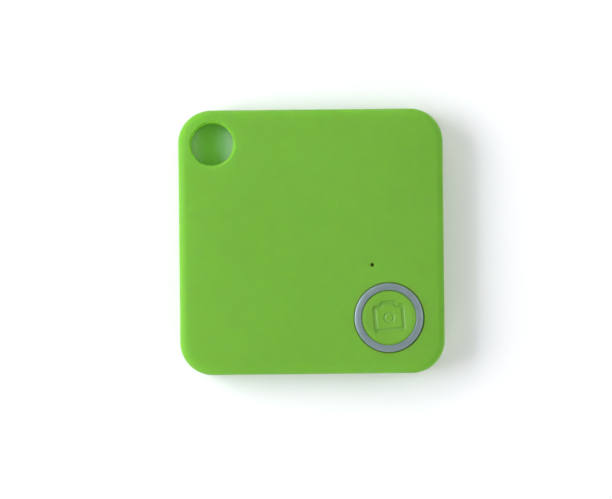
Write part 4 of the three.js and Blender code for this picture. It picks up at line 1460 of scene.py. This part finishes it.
@dataclass
class CircuitBoard:
    """The board round the coin cell, with its antenna and screws."""

    corner: float = 2.6
    cell_gap: float = 0.4
    arm: float = 7.0
    key_room: float = 4.5
    notch: float = 1.25
    screw_hole: float = 0.8
    shank: float = 0.65
    head: float = 1.25
    head_height: float = 0.55
    slot: float = 0.3
    slot_depth: float = 0.25
    track_width: float = 0.22
    copper: float = 0.009
    covers: Covers = field(default_factory=Covers)
    board: Room = room_of("main_board")

    def __post_init__(self) -> None:
        """Works out the heights that everything printed on the board shares."""
        self.under = self.board.high.z - 0.01
        self.printed = self.board.high.z + self.copper

    def track(self, first: Vector, last: Vector) -> Layer:
        """A copper track from one point to another, with one bend of 45 degrees.

        Args:
            first: Where it starts.
            last: Where it ends.

        Returns:
            The track.
        """
        gap = last - first
        short = min(abs(gap.x), abs(gap.y))
        bend = last - Vector((math.copysign(short, gap.x), math.copysign(short, gap.y)))
        legs = ((first, bend), (bend, last))
        path = [first, *(end for start, end in legs if (end - start).length > 0.05)]
        return Shape.prism(sheet_outline(path, self.track_width), self.under, self.printed), MASKED_COPPER

    def tracks(self) -> list[Layer]:
        """Every track.

        Returns:
            The tracks.
        """
        nodes = {node for start, ways in TRACKS for node in (start, *(way[1] for way in ways))}
        middle = {node: Room.of(node).middle.xy for node in nodes}
        return [self.track(middle[start] + Vector(leave), middle[end] + Vector(reach))
                for start, ways in TRACKS for leave, end, reach in ways]

    def plating(self) -> list[Layer]:
        """The plated rings and pads.

        Returns:
            The plated shapes.
        """
        rim = self.printed + 0.003
        section = [(0, self.under - 0.01), (0.3, self.under - 0.01), (0.3, rim, 0.004), (0.15, rim, 0.004),
                   (0.1, rim - 0.002), (0, rim - 0.002)]
        shapes = [Shape.turned(section, spot, 20) for spot in VIAS]
        for turn in CLIP_TURNS:
            pad = Shape.bar(2.4, 4.6, self.under, self.printed, 0.3, steps=(4, 1)).moved(12.2)
            shapes.append(pad.rotated(turn).moved(*Room.of("cell_can").middle.xy))
        shapes += [Shape.disc(0.55, self.under, self.printed, spot, 28) for spot in LEAD_PADS]
        return [(shape, PLATING) for shape in shapes]

    def marks(self, node: str, margin: float) -> list[Layer]:
        """The printed corners round a part.

        Args:
            node: The part.
            margin: How far they stand off it.

        Returns:
            The marks.
        """
        room, ticks = Room.of(node), []
        half, high = room.size.xy / 2 + Vector((margin, margin)), self.board.high.z + self.copper * 0.7
        for x, y in ((-1, -1), (-1, 1), (1, -1), (1, 1)):
            corner = room.middle.xy + half * Vector((x, y))
            for long, wide in ((0.8, 0.12), (0.12, 0.8)):
                tick = Shape.bar(long, wide, self.under, high)
                ticks.append((tick.moved(corner.x - x * long / 2, corner.y - y * wide / 2), SILK))
        return ticks

    def make_board(self) -> Piece:
        """The laminate, routed round the cell, the key hole and the buzzer's leads.

        Returns:
            The piece.
        """
        low, high = self.board.low, self.board.high
        cell = Room.of("cell_can")
        hole = cell.radius + self.cell_gap
        below, above = low.z - PAST, high.z + PAST

        def drill(radius: float, x: float, y: float, steps: int = 48) -> Shape:
            """A round cutter through the board."""
            return Shape.disc(radius, below, above, (x, y), steps)

        key_x, key_y = self.covers.key
        out = hole * math.sqrt(0.5)
        tools = [
            drill(hole, cell.middle.x, cell.middle.y, 128),
            Shape.block((-FAR, -FAR, below), (cell.middle.x + self.arm, cell.middle.y + self.arm, above), 0.6),
            Shape.block((-FAR, key_y - self.key_room, below), (key_x + self.key_room, FAR, above), 0.6),
            drill(self.notch, cell.middle.x + out, cell.middle.y + out),
            *(drill(self.screw_hole, spot.x, spot.y, 32) for spot in self.covers.screws),
        ]
        board = Shape.block(low, high, self.corner, steps=(12, 2)).cut(*tools)
        silk = [mark for part in SILK_FRAMES for mark in self.marks(*part)]
        return made("circuit_board", Body.REAR, "board_laminate", ["main_board"], (board, BOARD),
                    *self.tracks(), *self.plating(), *silk)

    def make_screw(self, number: int) -> Piece:
        """One pan-head screw with a cross recess.

        Args:
            number: Which of the three screws it is.

        Returns:
            The piece.
        """
        node = f"board_screw_{number}"
        room = Room.of(node)
        seat, top = room.high.z - self.head_height, room.high.z
        section = [(0, room.low.z), (self.shank / 2, room.low.z), (self.shank, room.low.z + self.shank),
                   (self.shank, seat), (self.head, seat, 0.06), (self.head, top - 0.28, 0.12),
                   (self.head * 0.62, top, 0.35), (0, top)]
        screw = Shape.turned(section, room.middle, 48)
        floor, reach, half = top - self.slot_depth, self.head * 0.62, self.slot / 2
        bar = [(-reach, -half, 0.05), (reach, -half, 0.05), (reach, half, 0.05), (-reach, half, 0.05)]
        arms = [Shape.prism(softened(bar), floor, top + PAST).rotated(turn).moved(*room.middle.xy)
                for turn in (17, 107)]
        screw.cut(arms[0].add(arms[1]))
        return made(f"pan_screw_{number}", Body.REAR, "steel", [node], (screw, STEEL))

    def dress_antenna(self) -> Piece:
        """Gives the printed antenna its finish.

        Returns:
            The piece.
        """
        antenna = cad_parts["antenna_trace"]
        for slot in antenna.material_slots:
            slot.link = "OBJECT"
            slot.material = COPPER.material()
        return antenna

    def build(self) -> list[Piece]:
        """Makes the board and its screws, and dresses the antenna."""
        return [self.make_board(), *(self.make_screw(i) for i in (1, 2, 3)), self.dress_antenna()]


# ---- Components ----


@dataclass
class Components:
    """The small parts soldered to the board."""

    pad: float = 0.28  # how far solder reaches past a part's end
    film: float = 0.01  # thickness of a pad on the board

    @staticmethod
    def extent(node: str) -> tuple[float, float, float]:
        """A part's length, width and height."""
        size = Room.of(node).size
        return max(size.xy), min(size.xy), size.z

    @staticmethod
    def soldered(name: str, slot: str, node: str, shape: Shape, finish: Finish, *metal: Shape,
                 plating: Finish = TIN, lid: Shape | None = None) -> Piece:
        """Finishes a part that was drawn along X about the upright axis.

        Args:
            name: The piece's name.
            slot: Its material slot.
            node: The node that it lies on.
            shape: Its body.
            finish: What the body is made of.
            metal: Its ends, legs, pads and solder.
            plating: What those are plated with.
            lid: A bright steel lid.

        Returns:
            The piece.
        """
        room = Room.of(node)
        lids = [(lid, BRIGHT_STEEL)] if lid else []
        layers = [(shape, finish), *lids, *((piece, plating) for piece in metal)]
        for piece, _ in layers:
            if room.size.y > room.size.x:
                piece.rotated(90)
            piece.moved(room.middle.x, room.middle.y, room.low.z)
        return made(name, Body.REAR, slot, [node], *layers)

    def solder(self, length: float, width: float, height: float) -> list[Shape]:
        """A concave fillet of solder at each end of a part.

        Args:
            length: The part's length.
            width: The fillet's width.
            height: The part's height.

        Returns:
            Both fillets.
        """
        end, tip = length / 2 - 0.1, length / 2 + self.pad
        slope = [(length / 2 + self.pad * t, height * (1 - t) ** 2 * 0.6) for t in (0.75, 0.5, 0.25, 0)]
        side = [(end, -self.film), (tip, -self.film), (tip, 0.015), *slope, (end, height * 0.6)]
        fillet = Shape.prism(side, -width / 2, width / 2).rotated(90, "X")
        return [fillet, fillet.copied().rotated(180)]

    def two_ended(self, node: str, slot: str, finish: Finish) -> Piece:
        """A chip capacitor or resistor: a block with metal ends, soldered at both.

        Args:
            node: The part.
            slot: Its material slot.
            finish: The body's finish.

        Returns:
            The piece.
        """
        length, width, height = self.extent(node)
        cap = length / 5
        body = Shape.bar(length - 1.8 * cap, width - 0.04, 0.02, height - 0.02).broken(0.03)
        ends = [Shape.bar(cap, width, 0, height).broken(0.05, 3).moved(side * (length - cap) / 2)
                for side in (-1, 1)]
        metal = [*ends, *self.solder(length, width, height)]
        return self.soldered(f"chip_{node}", slot, node, body, finish, *metal)

    def leadless_chip(self, node: str, name: str, count: int = 8) -> Piece:
        """A square flat chip with a row of pads along each side, and a dot at its first pad.

        Args:
            node: The part.
            name: The piece's name.
            count: The pads along a side.

        Returns:
            The piece.
        """
        _, width, height = self.extent(node)
        half = width / 2 - 0.03
        body = Shape.bar(2 * half, 2 * half, 0.05, height).broken(0.05)
        floor, above = height - 0.03, height + PAST
        dot = Shape.turned([(0, floor), (0.22, floor), (0.26, above), (0, above)], steps=32)
        body.cut(dot.moved(-half + 0.65, half - 0.65))
        pads = []
        for i in range(count):
            along = -half + 0.6 + i * (width - 1.2) / (count - 1)
            for side in range(4):
                for length, reach, low, high in ((0.26, 0.3, 0, 0.22), (0.28, -0.3, -self.film, 0.03)):
                    pad = Shape.bar(length, abs(reach), low, high).moved(along, (width - reach) / 2)
                    pads.append(pad.rotated(side * 90))
        return self.soldered(name, "black_resin", node, body, EPOXY, *pads)

    def metal_can(self, node: str, name: str, rim: float = 0.24, lid: float = 0.56) -> Piece:
        """A crystal: a steel lid seam-welded to a ceramic base.

        Args:
            node: The part.
            name: The piece's name.
            rim: How much less the weld measures than the base.
            lid: How much less the lid measures than the base.

        Returns:
            The piece.
        """
        length, width, height = self.extent(node)
        base = Shape.bar(length, width, 0, height * 0.45, 0.2).broken(0.02, 1)
        weld = Shape.bar(length - rim, width - rim, height * 0.44, height * 0.6, 0.2, 0.03)
        weld.add(Shape.bar(length - lid, width - lid, height * 0.58, height, 0.25, 0.08))
        metal = self.solder(length, width * 0.8, height * 0.3)
        return self.soldered(name, "steel", node, base, EPOXY, *metal, lid=weld)

    def legged_chip(self, node: str, name: str) -> Piece:
        """A small moulded chip with three bent legs on each long side.

        Args:
            node: The part.
            name: The piece's name.

        Returns:
            The piece.
        """
        length, width, height = self.extent(node)
        half = width / 2 - 0.3
        path = [(half - 0.05, height * 0.5), (half + 0.12, height * 0.5, 0.06), (half + 0.17, 0.05, 0.06),
                (width / 2, 0.05)]
        legs = []
        for i in (-1, 0, 1):
            leg = Shape.prism(sheet_outline(softened(path, False, 30), 0.09), -0.18, 0.18)
            leg.rotated(90, "X").rotated(90).moved(i * length * 0.33)
            legs += [leg.copied().rotated(180), leg]
        body = Shape.bar(length, 2 * half, 0.08, height, 0, 0.09, 0.05)
        return self.soldered(name, "black_resin", node, body, EPOXY, *legs)

    def wound_coil(self, node: str, name: str) -> Piece:
        """A shielded coil: a ferrite block with cut corners and a round core in its top.

        Args:
            node: The part.
            name: The piece's name.

        Returns:
            The piece.
        """
        length, width, height = self.extent(node)
        block = Shape.bar(length, width, 0.03, height, 0.45, 0.1, steps=(1, 2))
        block.cut(Shape.tube(0.86, 1.0, height - 0.12, height + PAST, steps=64))
        return self.soldered(name, "black_resin", node, block, FERRITE,
                             *self.solder(length, width * 0.6, height * 0.35))

    def light(self) -> list[Piece]:
        """The indicator light: a white carrier with plated ends, and its resin lens.

        Returns:
            Both pieces.
        """
        length, width, height = self.extent("led_base")
        plate = Shape.bar(length, width, 0, height).broken(0.02, 1)
        end = Shape.bar(0.32, width + 0.01, -self.film, height + 0.005).broken(0.015, 1)
        ends = [end.copied().moved(side * length / 2) for side in (-1, 1)]
        lens = Room.of("led_lens")
        dome = Shape.block(lens.low, lens.high, 0.1, top=0.1)
        carrier = self.soldered("light_carrier", "white_tape", "led_base", plate, WHITE_TAPE, *ends,
                                plating=COPPER)
        return [carrier, made("light_lens", Body.REAR, "clear_resin", ["led_lens"], (dome, PHOSPHOR))]

    def build(self) -> list[Piece]:
        """Makes every part on the board.

        Returns:
            The pieces.
        """
        return [
            *(self.two_ended(f"capacitor_{i}", "tan_ceramic", TAN_CERAMIC) for i in range(1, 6)),
            *(self.two_ended(f"resistor_{i}", "black_resin", THICK_FILM) for i in range(1, 5)),
            self.leadless_chip("radio_chip", "radio"),
            self.metal_can("radio_crystal", "radio_timer"),
            self.metal_can("clock_crystal", "clock_timer"),
            self.legged_chip("buzzer_driver", "driver_chip"),
            self.wound_coil("buzzer_coil", "driver_coil"),
            *self.light(),
        ]


# ---- Coin cell ----


@dataclass
class CoinCell:
    """The cell, its two clips and spring, and the foam that steadies it."""

    wall: float = 0.25
    crimp: float = 0.7
    seal: float = 0.5
    seam: float = 0.1
    board_gap: float = 0.8
    foot: float = 2.1
    width: float = 4.0
    clip_sheet: float = 0.2
    clip_reach: float = 3.0
    clip_tip: float = 0.6
    spring_sheet: float = 0.15
    spring_flat: float = 3.0
    floor: float = Covers.rear_wall
    can: Room = room_of("cell_can")

    def __post_init__(self) -> None:
        """Works out the sizes that the parts share."""
        self.radius = self.can.radius
        self.base = Room.of("cell_cup").low.z
        self.top = self.can.high.z
        self.rise = self.radius + self.board_gap
        self.board = Room.of("main_board")

    def make_can(self) -> Piece:
        """The steel can, flat face up, with a plus sign stamped near its edge.

        Returns:
            The piece.
        """
        base, top, r, wall = self.base, self.top, self.radius, self.wall
        inner, crimp = r - wall, r - self.crimp
        under, over = base + wall, base + 2 * wall
        section = [(0, top - wall), (inner, top - wall), (inner, over), (crimp, over, 0.05),
                   (crimp, under, 0.05), (inner, under, 0.1), (r, over, 0.2), (r, top, 0.32), (0, top)]
        can = Shape.turned(section, self.can.middle, 144, 10)
        bars = [Shape.bar(2.2, 0.4, top - 0.05, top + PAST, 0.19, steps=(4, 1)).rotated(turn)
                for turn in (0, 90)]
        plus = bars[0].add(bars[1]).moved(self.can.middle.x - 4.6, self.can.middle.y - 4.6)
        brushed = TurnedMetal("cell_steel", 0xb9bbbc, 0.25, tuple(self.can.middle.xy), 5.0, 0.0008)
        return made("cell_case", Body.REAR, "steel", ["cell_can"], (can.cut(plus), brushed))

    def make_inside(self) -> list[Piece]:
        """The seal and the inner cup, which show from below.

        Returns:
            Both pieces.
        """
        base, wall = self.base, self.wall
        inner, crimp = self.radius - wall, self.radius - self.crimp
        cup = crimp - self.seal
        fill = self.top - wall - self.seam
        near, mouth, far = cup + self.seam, crimp - self.seam, inner - self.seam
        foot, sill = base + wall / 2, base + 2 * wall + self.seam
        seal = Shape.turned([(near, foot, 0.05), (mouth, foot, 0.05), (mouth, sill), (far, sill), (far, fill),
                             (near, fill)], self.can.middle, 112)
        body = Shape.turned([(0, base), (cup - wall * 0.6, base, 0.15), (cup, base + wall, 0.1), (cup, fill),
                             (0, fill)], self.can.middle, 112)
        return [made("cell_gasket", Body.REAR, "cell_seal_plastic", ["cell_seal"], (seal, SEAL_RUBBER)),
                made("cell_inner_cup", Body.REAR, "cell_cup_metal", ["cell_cup"], (body, STEEL))]

    def contact(self, path: Sequence[Sequence[float]], sheet: float, slot: Point, turn: float) -> Shape:
        """A bent strip with an oblong slot, at an angle round the cell.

        Args:
            path: Its middle line as (out, up) or (out, up, round).
            sheet: The strip's thickness.
            slot: From where to where, outwards, the slot runs.
            turn: The angle round the cell in degrees.

        Returns:
            The strip.
        """
        outline = sheet_outline(softened(path, False, 18), sheet)
        strip = Shape.prism(outline, -self.width / 2, self.width / 2).rotated(90, "X")
        strip.cut(Shape.bar(slot[1] - slot[0], 0.9, 0, 9, 0.44, steps=(6, 1)).moved((slot[0] + slot[1]) / 2))
        return strip.broken(0.03, 1, 60).rotated(turn).moved(*self.can.middle.xy)

    def make_contacts(self) -> list[Piece]:
        """The two clips on the can's face, and the leaf spring under the cup.

        Returns:
            The three pieces.
        """
        sheet = self.clip_sheet
        low, high = self.board.high.z + sheet / 2 + SEAT, self.top + sheet / 2 + SEAT
        tip = self.radius - self.clip_reach
        clip = [(self.rise + self.foot, low), (self.rise + sheet, low, 0.2), (self.rise, high, 0.25),
                (tip + self.clip_tip, high, 0.5), (tip, high + sheet / 2)]
        slot = (tip + 1.1, self.rise - 0.7)
        names, nodes = ("right_clip", "top_clip"), ("cell_clip_right", "cell_clip_top")
        clips = [made(name, Body.REAR, "steel", [node], (self.contact(clip, sheet, slot, turn), SPRING_STEEL))
                 for name, node, turn in zip(names, nodes, CLIP_TURNS)]
        sheet = self.spring_sheet
        high, top = self.board.low.z - sheet / 2 - SEAT, self.base - sheet / 2 - SEAT
        low = self.floor + sheet / 2 + SEAT
        leaf = [(self.rise + self.foot, high), (self.rise + sheet, high, 0.2), (self.rise, low, 0.3),
                (self.radius - self.spring_flat, low, 1.0), (1, top, 1.0), (0, top, 1.0),
                (-1, (top + low) / 2)]
        spring = self.contact(leaf, sheet, (3.2, 6.2), 0)
        return [*clips, made("leaf_spring", Body.REAR, "steel", ["cell_spring"], (spring, SPRING_STEEL))]

    def make_foam(self) -> Piece:
        """The die-cut foam disc on the front cover.

        Returns:
            The piece.
        """
        room = Room.of("cell_foam_pad")
        r, low, high = room.span
        pad = Shape.turned([(0, low), (r - 0.02, low, 0.1), (r - 0.02, high, 0.04), (0, high)],
                           room.middle, 72)
        piece = made("foam_disc", Body.FRONT, "foam", ["cell_foam_pad"], (pad, FOAM))
        return piece

    def build(self) -> list[Piece]:
        """Makes the cell and what holds it."""
        return [self.make_can(), *self.make_inside(), *self.make_contacts(), self.make_foam()]


# ---- Buzzer ----


@dataclass
class Buzzer:
    """The piezo disc on its tape ring, with two leads to the board."""

    lead: float = 0.2
    lead_clearance: float = 0.14
    notch: float = 1.25
    tape_width: float = 0.88
    starts: tuple[Point, Point] = ((-1.5, 210.6), (1.0, 239.4))  # reach past the disc, and angle
    plate: Room = room_of("buzzer_plate")
    disc: Room = room_of("buzzer_disc")
    tape: Room = room_of("buzzer_tape")

    def make_stack(self) -> list[Piece]:
        """The tape ring, the brass plate, and the ceramic with its silver face.

        Returns:
            The three pieces.
        """
        middle = self.plate.middle
        r, low, high = self.tape.span
        tape = Shape.tube(r - self.tape_width, r, low, high, middle, 112)
        r, low, high = self.plate.span
        plate = Shape.turned([(0, low), (r, low, 0.05), (r, high, 0.05), (0, high)], middle, 112)
        r, low, high = self.disc.span
        under = high - 0.03
        ceramic = Shape.turned([(0, low), (r, low), (r, under, 0.03), (0, under)], middle, 112)
        face = Shape.turned([(0, under), (r - 0.6, under), (r - 0.6, high, 0.01), (0, high)], middle, 112)
        return [made("sticky_ring", Body.REAR, "white_tape", ["buzzer_tape"], (tape, WHITE_TAPE)),
                made("sounder_plate", Body.REAR, "brass", ["buzzer_plate"], (plate, BRASS)),
                made("sounder_disc", Body.REAR, "ceramic", ["buzzer_disc"], (ceramic, WHITE_CERAMIC),
                     (face, SILVER_PASTE))]

    def route(self, start: Point, side: float) -> list[Vector]:
        """A lead's way: off the disc, under the board, up through its notch, and back to a pad.

        Args:
            start: Where it is soldered, from the disc's middle.
            side: 1 or -1, for the side of the notch that it keeps to.

        Returns:
            The points.
        """
        cell, board = Room.of("cell_can"), Room.of("main_board")
        out = Vector((1, 1)).normalized()
        mouth = cell.middle.xy + out * (cell.radius + CircuitBoard.cell_gap)
        across = Vector((-out.y, out.x)) * side * (self.lead + self.lead_clearance / 2)
        under = board.low.z - self.lead - self.lead_clearance
        on_disc = self.disc.high.z + 0.02
        first = self.disc.middle.xy + Vector(start)
        second = first.lerp(mouth, 0.25)

        def at(reach: float, spread: float, height: float) -> Vector:
            """A point from the notch's middle."""
            return Vector((*(mouth + out * reach + across * spread), height))

        return [Vector((*first, on_disc + self.lead)), Vector((*second, (on_disc + self.lead + under) / 2)),
                at(2.6, 1.6, under), at(self.notch, 1, under), at(0.25, 1, board.middle.z),
                at(self.notch, 1, board.high.z + self.lead + self.lead_clearance),
                at(2.4, 1.6, board.high.z + 2.5 * self.lead), at(3.4, 3, board.high.z + self.lead + 2 * SEAT)]

    @staticmethod
    def smooth(points: Sequence[Vector], steps: int = 7) -> list[Vector]:
        """A smooth line through points, by centripetal splines.

        Args:
            points: The points.
            steps: How many steps there are between two points.

        Returns:
            The line.
        """
        ends = [points[0] * 2 - points[1], *points, points[-1] * 2 - points[-2]]
        line = []
        for p0, p1, p2, p3 in zip(ends, ends[1:], ends[2:], ends[3:]):
            t1 = (p1 - p0).length ** 0.5
            t2 = t1 + (p2 - p1).length ** 0.5
            t3 = t2 + (p3 - p2).length ** 0.5
            for step in range(steps):
                t = t1 + (t2 - t1) * step / steps
                a1 = p0.lerp(p1, t / t1)
                a2 = p1.lerp(p2, (t - t1) / (t2 - t1))
                a3 = p2.lerp(p3, (t - t2) / (t3 - t2))
                b1 = a1.lerp(a2, t / t2)
                b2 = a2.lerp(a3, (t - t1) / (t3 - t1))
                line.append(b1.lerp(b2, (t - t1) / (t2 - t1)))
        return [*line, points[-1]]

    def make_lead(self, name: str, node: str, slot: str, finish: Finish, start: Point,
                  side: float) -> Piece:
        """One insulated lead.

        Args:
            name: The piece's name.
            node: The lead's node.
            slot: Its material slot.
            finish: The insulation's finish.
            start: Where it is soldered, from the disc's middle.
            side: The side of the notch that it keeps to.

        Returns:
            The piece.
        """
        line = self.smooth(self.route(start, side))
        rings = []
        up = Vector((0, 0, 1))
        for i, point in enumerate(line):
            along = (line[min(i + 1, len(line) - 1)] - line[max(i - 1, 0)]).normalized()
            over = (up - along * up.dot(along)).normalized()
            up = over
            sideways = along.cross(over)
            rings.append([point + (over * math.cos(turn) + sideways * math.sin(turn)) * self.lead
                          for turn in (i * math.tau / 16 for i in range(16))])
        wire = Shape.lofted(rings)
        return made(name, Body.REAR, slot, [node], (wire, finish), crease=60)

    def build(self) -> list[Piece]:
        """Makes the disc and both leads.

        Returns:
            The pieces.
        """
        red, black = (arc(0, 0, self.disc.radius + past, turn, turn, 1)[0] for past, turn in self.starts)
        return [
            *self.make_stack(),
            self.make_lead("red_lead", "buzzer_lead_red", "red_wire", RED_VINYL, red, 1),
            self.make_lead("black_lead", "buzzer_lead_black", "black_wire", BLACK_VINYL, black, -1),
        ]


# ---- Studio ----


@dataclass(frozen=True)
class Softbox:
    """A large square light that faces the tag, placed by angles and a distance in metres."""

    name: str
    azimuth: float
    elevation: float
    distance: float
    size: tuple[float, float]
    power: float
    colour: tuple[float, float, float] = (1.0, 1.0, 1.0)

    def place(self) -> Piece:
        """Hangs the light.

        Returns:
            The light.
        """
        lamp = bpy.data.lights.new(self.name, "AREA")
        lamp.shape, lamp.size, lamp.size_y = "RECTANGLE", *self.size
        lamp.energy, lamp.color = self.power, self.colour
        light = bpy.data.objects.new(self.name, lamp)
        around, up = math.radians(self.azimuth), math.radians(self.elevation)
        away = Vector((math.cos(up) * math.cos(around), math.cos(up) * math.sin(around), math.sin(up)))
        light.location = away * self.distance
        light.rotation_euler = away.to_track_quat("Z", "Y").to_euler()
        light.visible_camera = False
        bpy.context.scene.collection.objects.link(light)
        return light


@dataclass
class Studio:
    """A pale floor, soft light mostly from the left, and a camera straight above."""

    floor_size: float = 4.0
    floor_shade: float = 0.92
    camera_height: float = 0.5
    lens: float = 208.2
    roll: float = -0.616
    aim: tuple[float, float] = (-0.00077, -0.00107)
    sky: float = 0.08
    lights: tuple[Softbox, ...] = (
        Softbox("key", 172, 36, 0.28, (0.28, 0.17), 0.93, (0.98, 0.99, 1.0)),
        Softbox("window", 177, 55, 0.28, (0.10, 0.07), 0.085, (0.55, 0.66, 1.0)),
        Softbox("top_fill", 92, 32, 1.0, (1.1, 0.5), 3.3),
        Softbox("right_fill", 4, 43, 1.0, (1.1, 0.5), 4.6),
        Softbox("low_fill", 270, 32, 1.0, (1.1, 0.5), 3.8),
    )

    def make_floor(self) -> Piece:
        """The floor, a hair below the tag.

        Returns:
            The floor.
        """
        mesh = bmesh.new()
        bmesh.ops.create_grid(mesh, x_segments=1, y_segments=1, size=self.floor_size / 2)
        bmesh.ops.translate(mesh, vec=(0, 0, -0.02 * MM), verts=mesh.verts)
        data = bpy.data.meshes.new("floor")
        mesh.to_mesh(data)
        recipe = Recipe("pale_floor")
        look = {"Base Color": (self.floor_shade,) * 3 + (1.0,), "Roughness": 0.8, "Specular IOR Level": 0.2}
        data.materials.append(recipe.surface(look))
        floor = bpy.data.objects.new("floor", data)
        bpy.context.scene.collection.objects.link(floor)
        return floor

    def make_camera(self) -> Piece:
        """The camera, looking straight down at the tag.

        Returns:
            The camera.
        """
        data = bpy.data.cameras.new("camera")
        data.lens, data.sensor_width = self.lens, 36.0
        data.clip_start, data.clip_end = 0.01, 10.0
        camera = bpy.data.objects.new("camera", data)
        camera.location = (*self.aim, self.camera_height)
        camera.rotation_euler = (0, 0, math.radians(self.roll))
        bpy.context.scene.collection.objects.link(camera)
        bpy.context.scene.camera = camera
        return camera

    def build(self) -> None:
        """Sets up the floor, the lights, the sky and the camera."""
        self.make_floor()
        self.make_camera()
        for light in self.lights:
            light.place()
        world = bpy.data.worlds.new("studio")
        world.use_nodes = True
        background = world.node_tree.nodes["Background"]
        background.inputs["Color"].default_value = (1.0, 1.0, 1.0, 1.0)
        background.inputs["Strength"].default_value = self.sky
        bpy.context.scene.world = world
        bpy.context.scene.view_settings.view_transform = "Standard"


def main() -> None:
    """Builds the studio and every sub-assembly."""
    logging.basicConfig(level=logging.INFO, format="%(name)s: %(message)s")
    Studio().build()
    for assembly in (Covers(), Button(), Switch(), CircuitBoard(), Components(), CoinCell(), Buzzer()):
        for piece in assembly.build():
            log.info("%s: %s, %d faces", type(assembly).__name__, piece.name, len(piece.data.polygons))


if __name__ == "__main__":
    main()
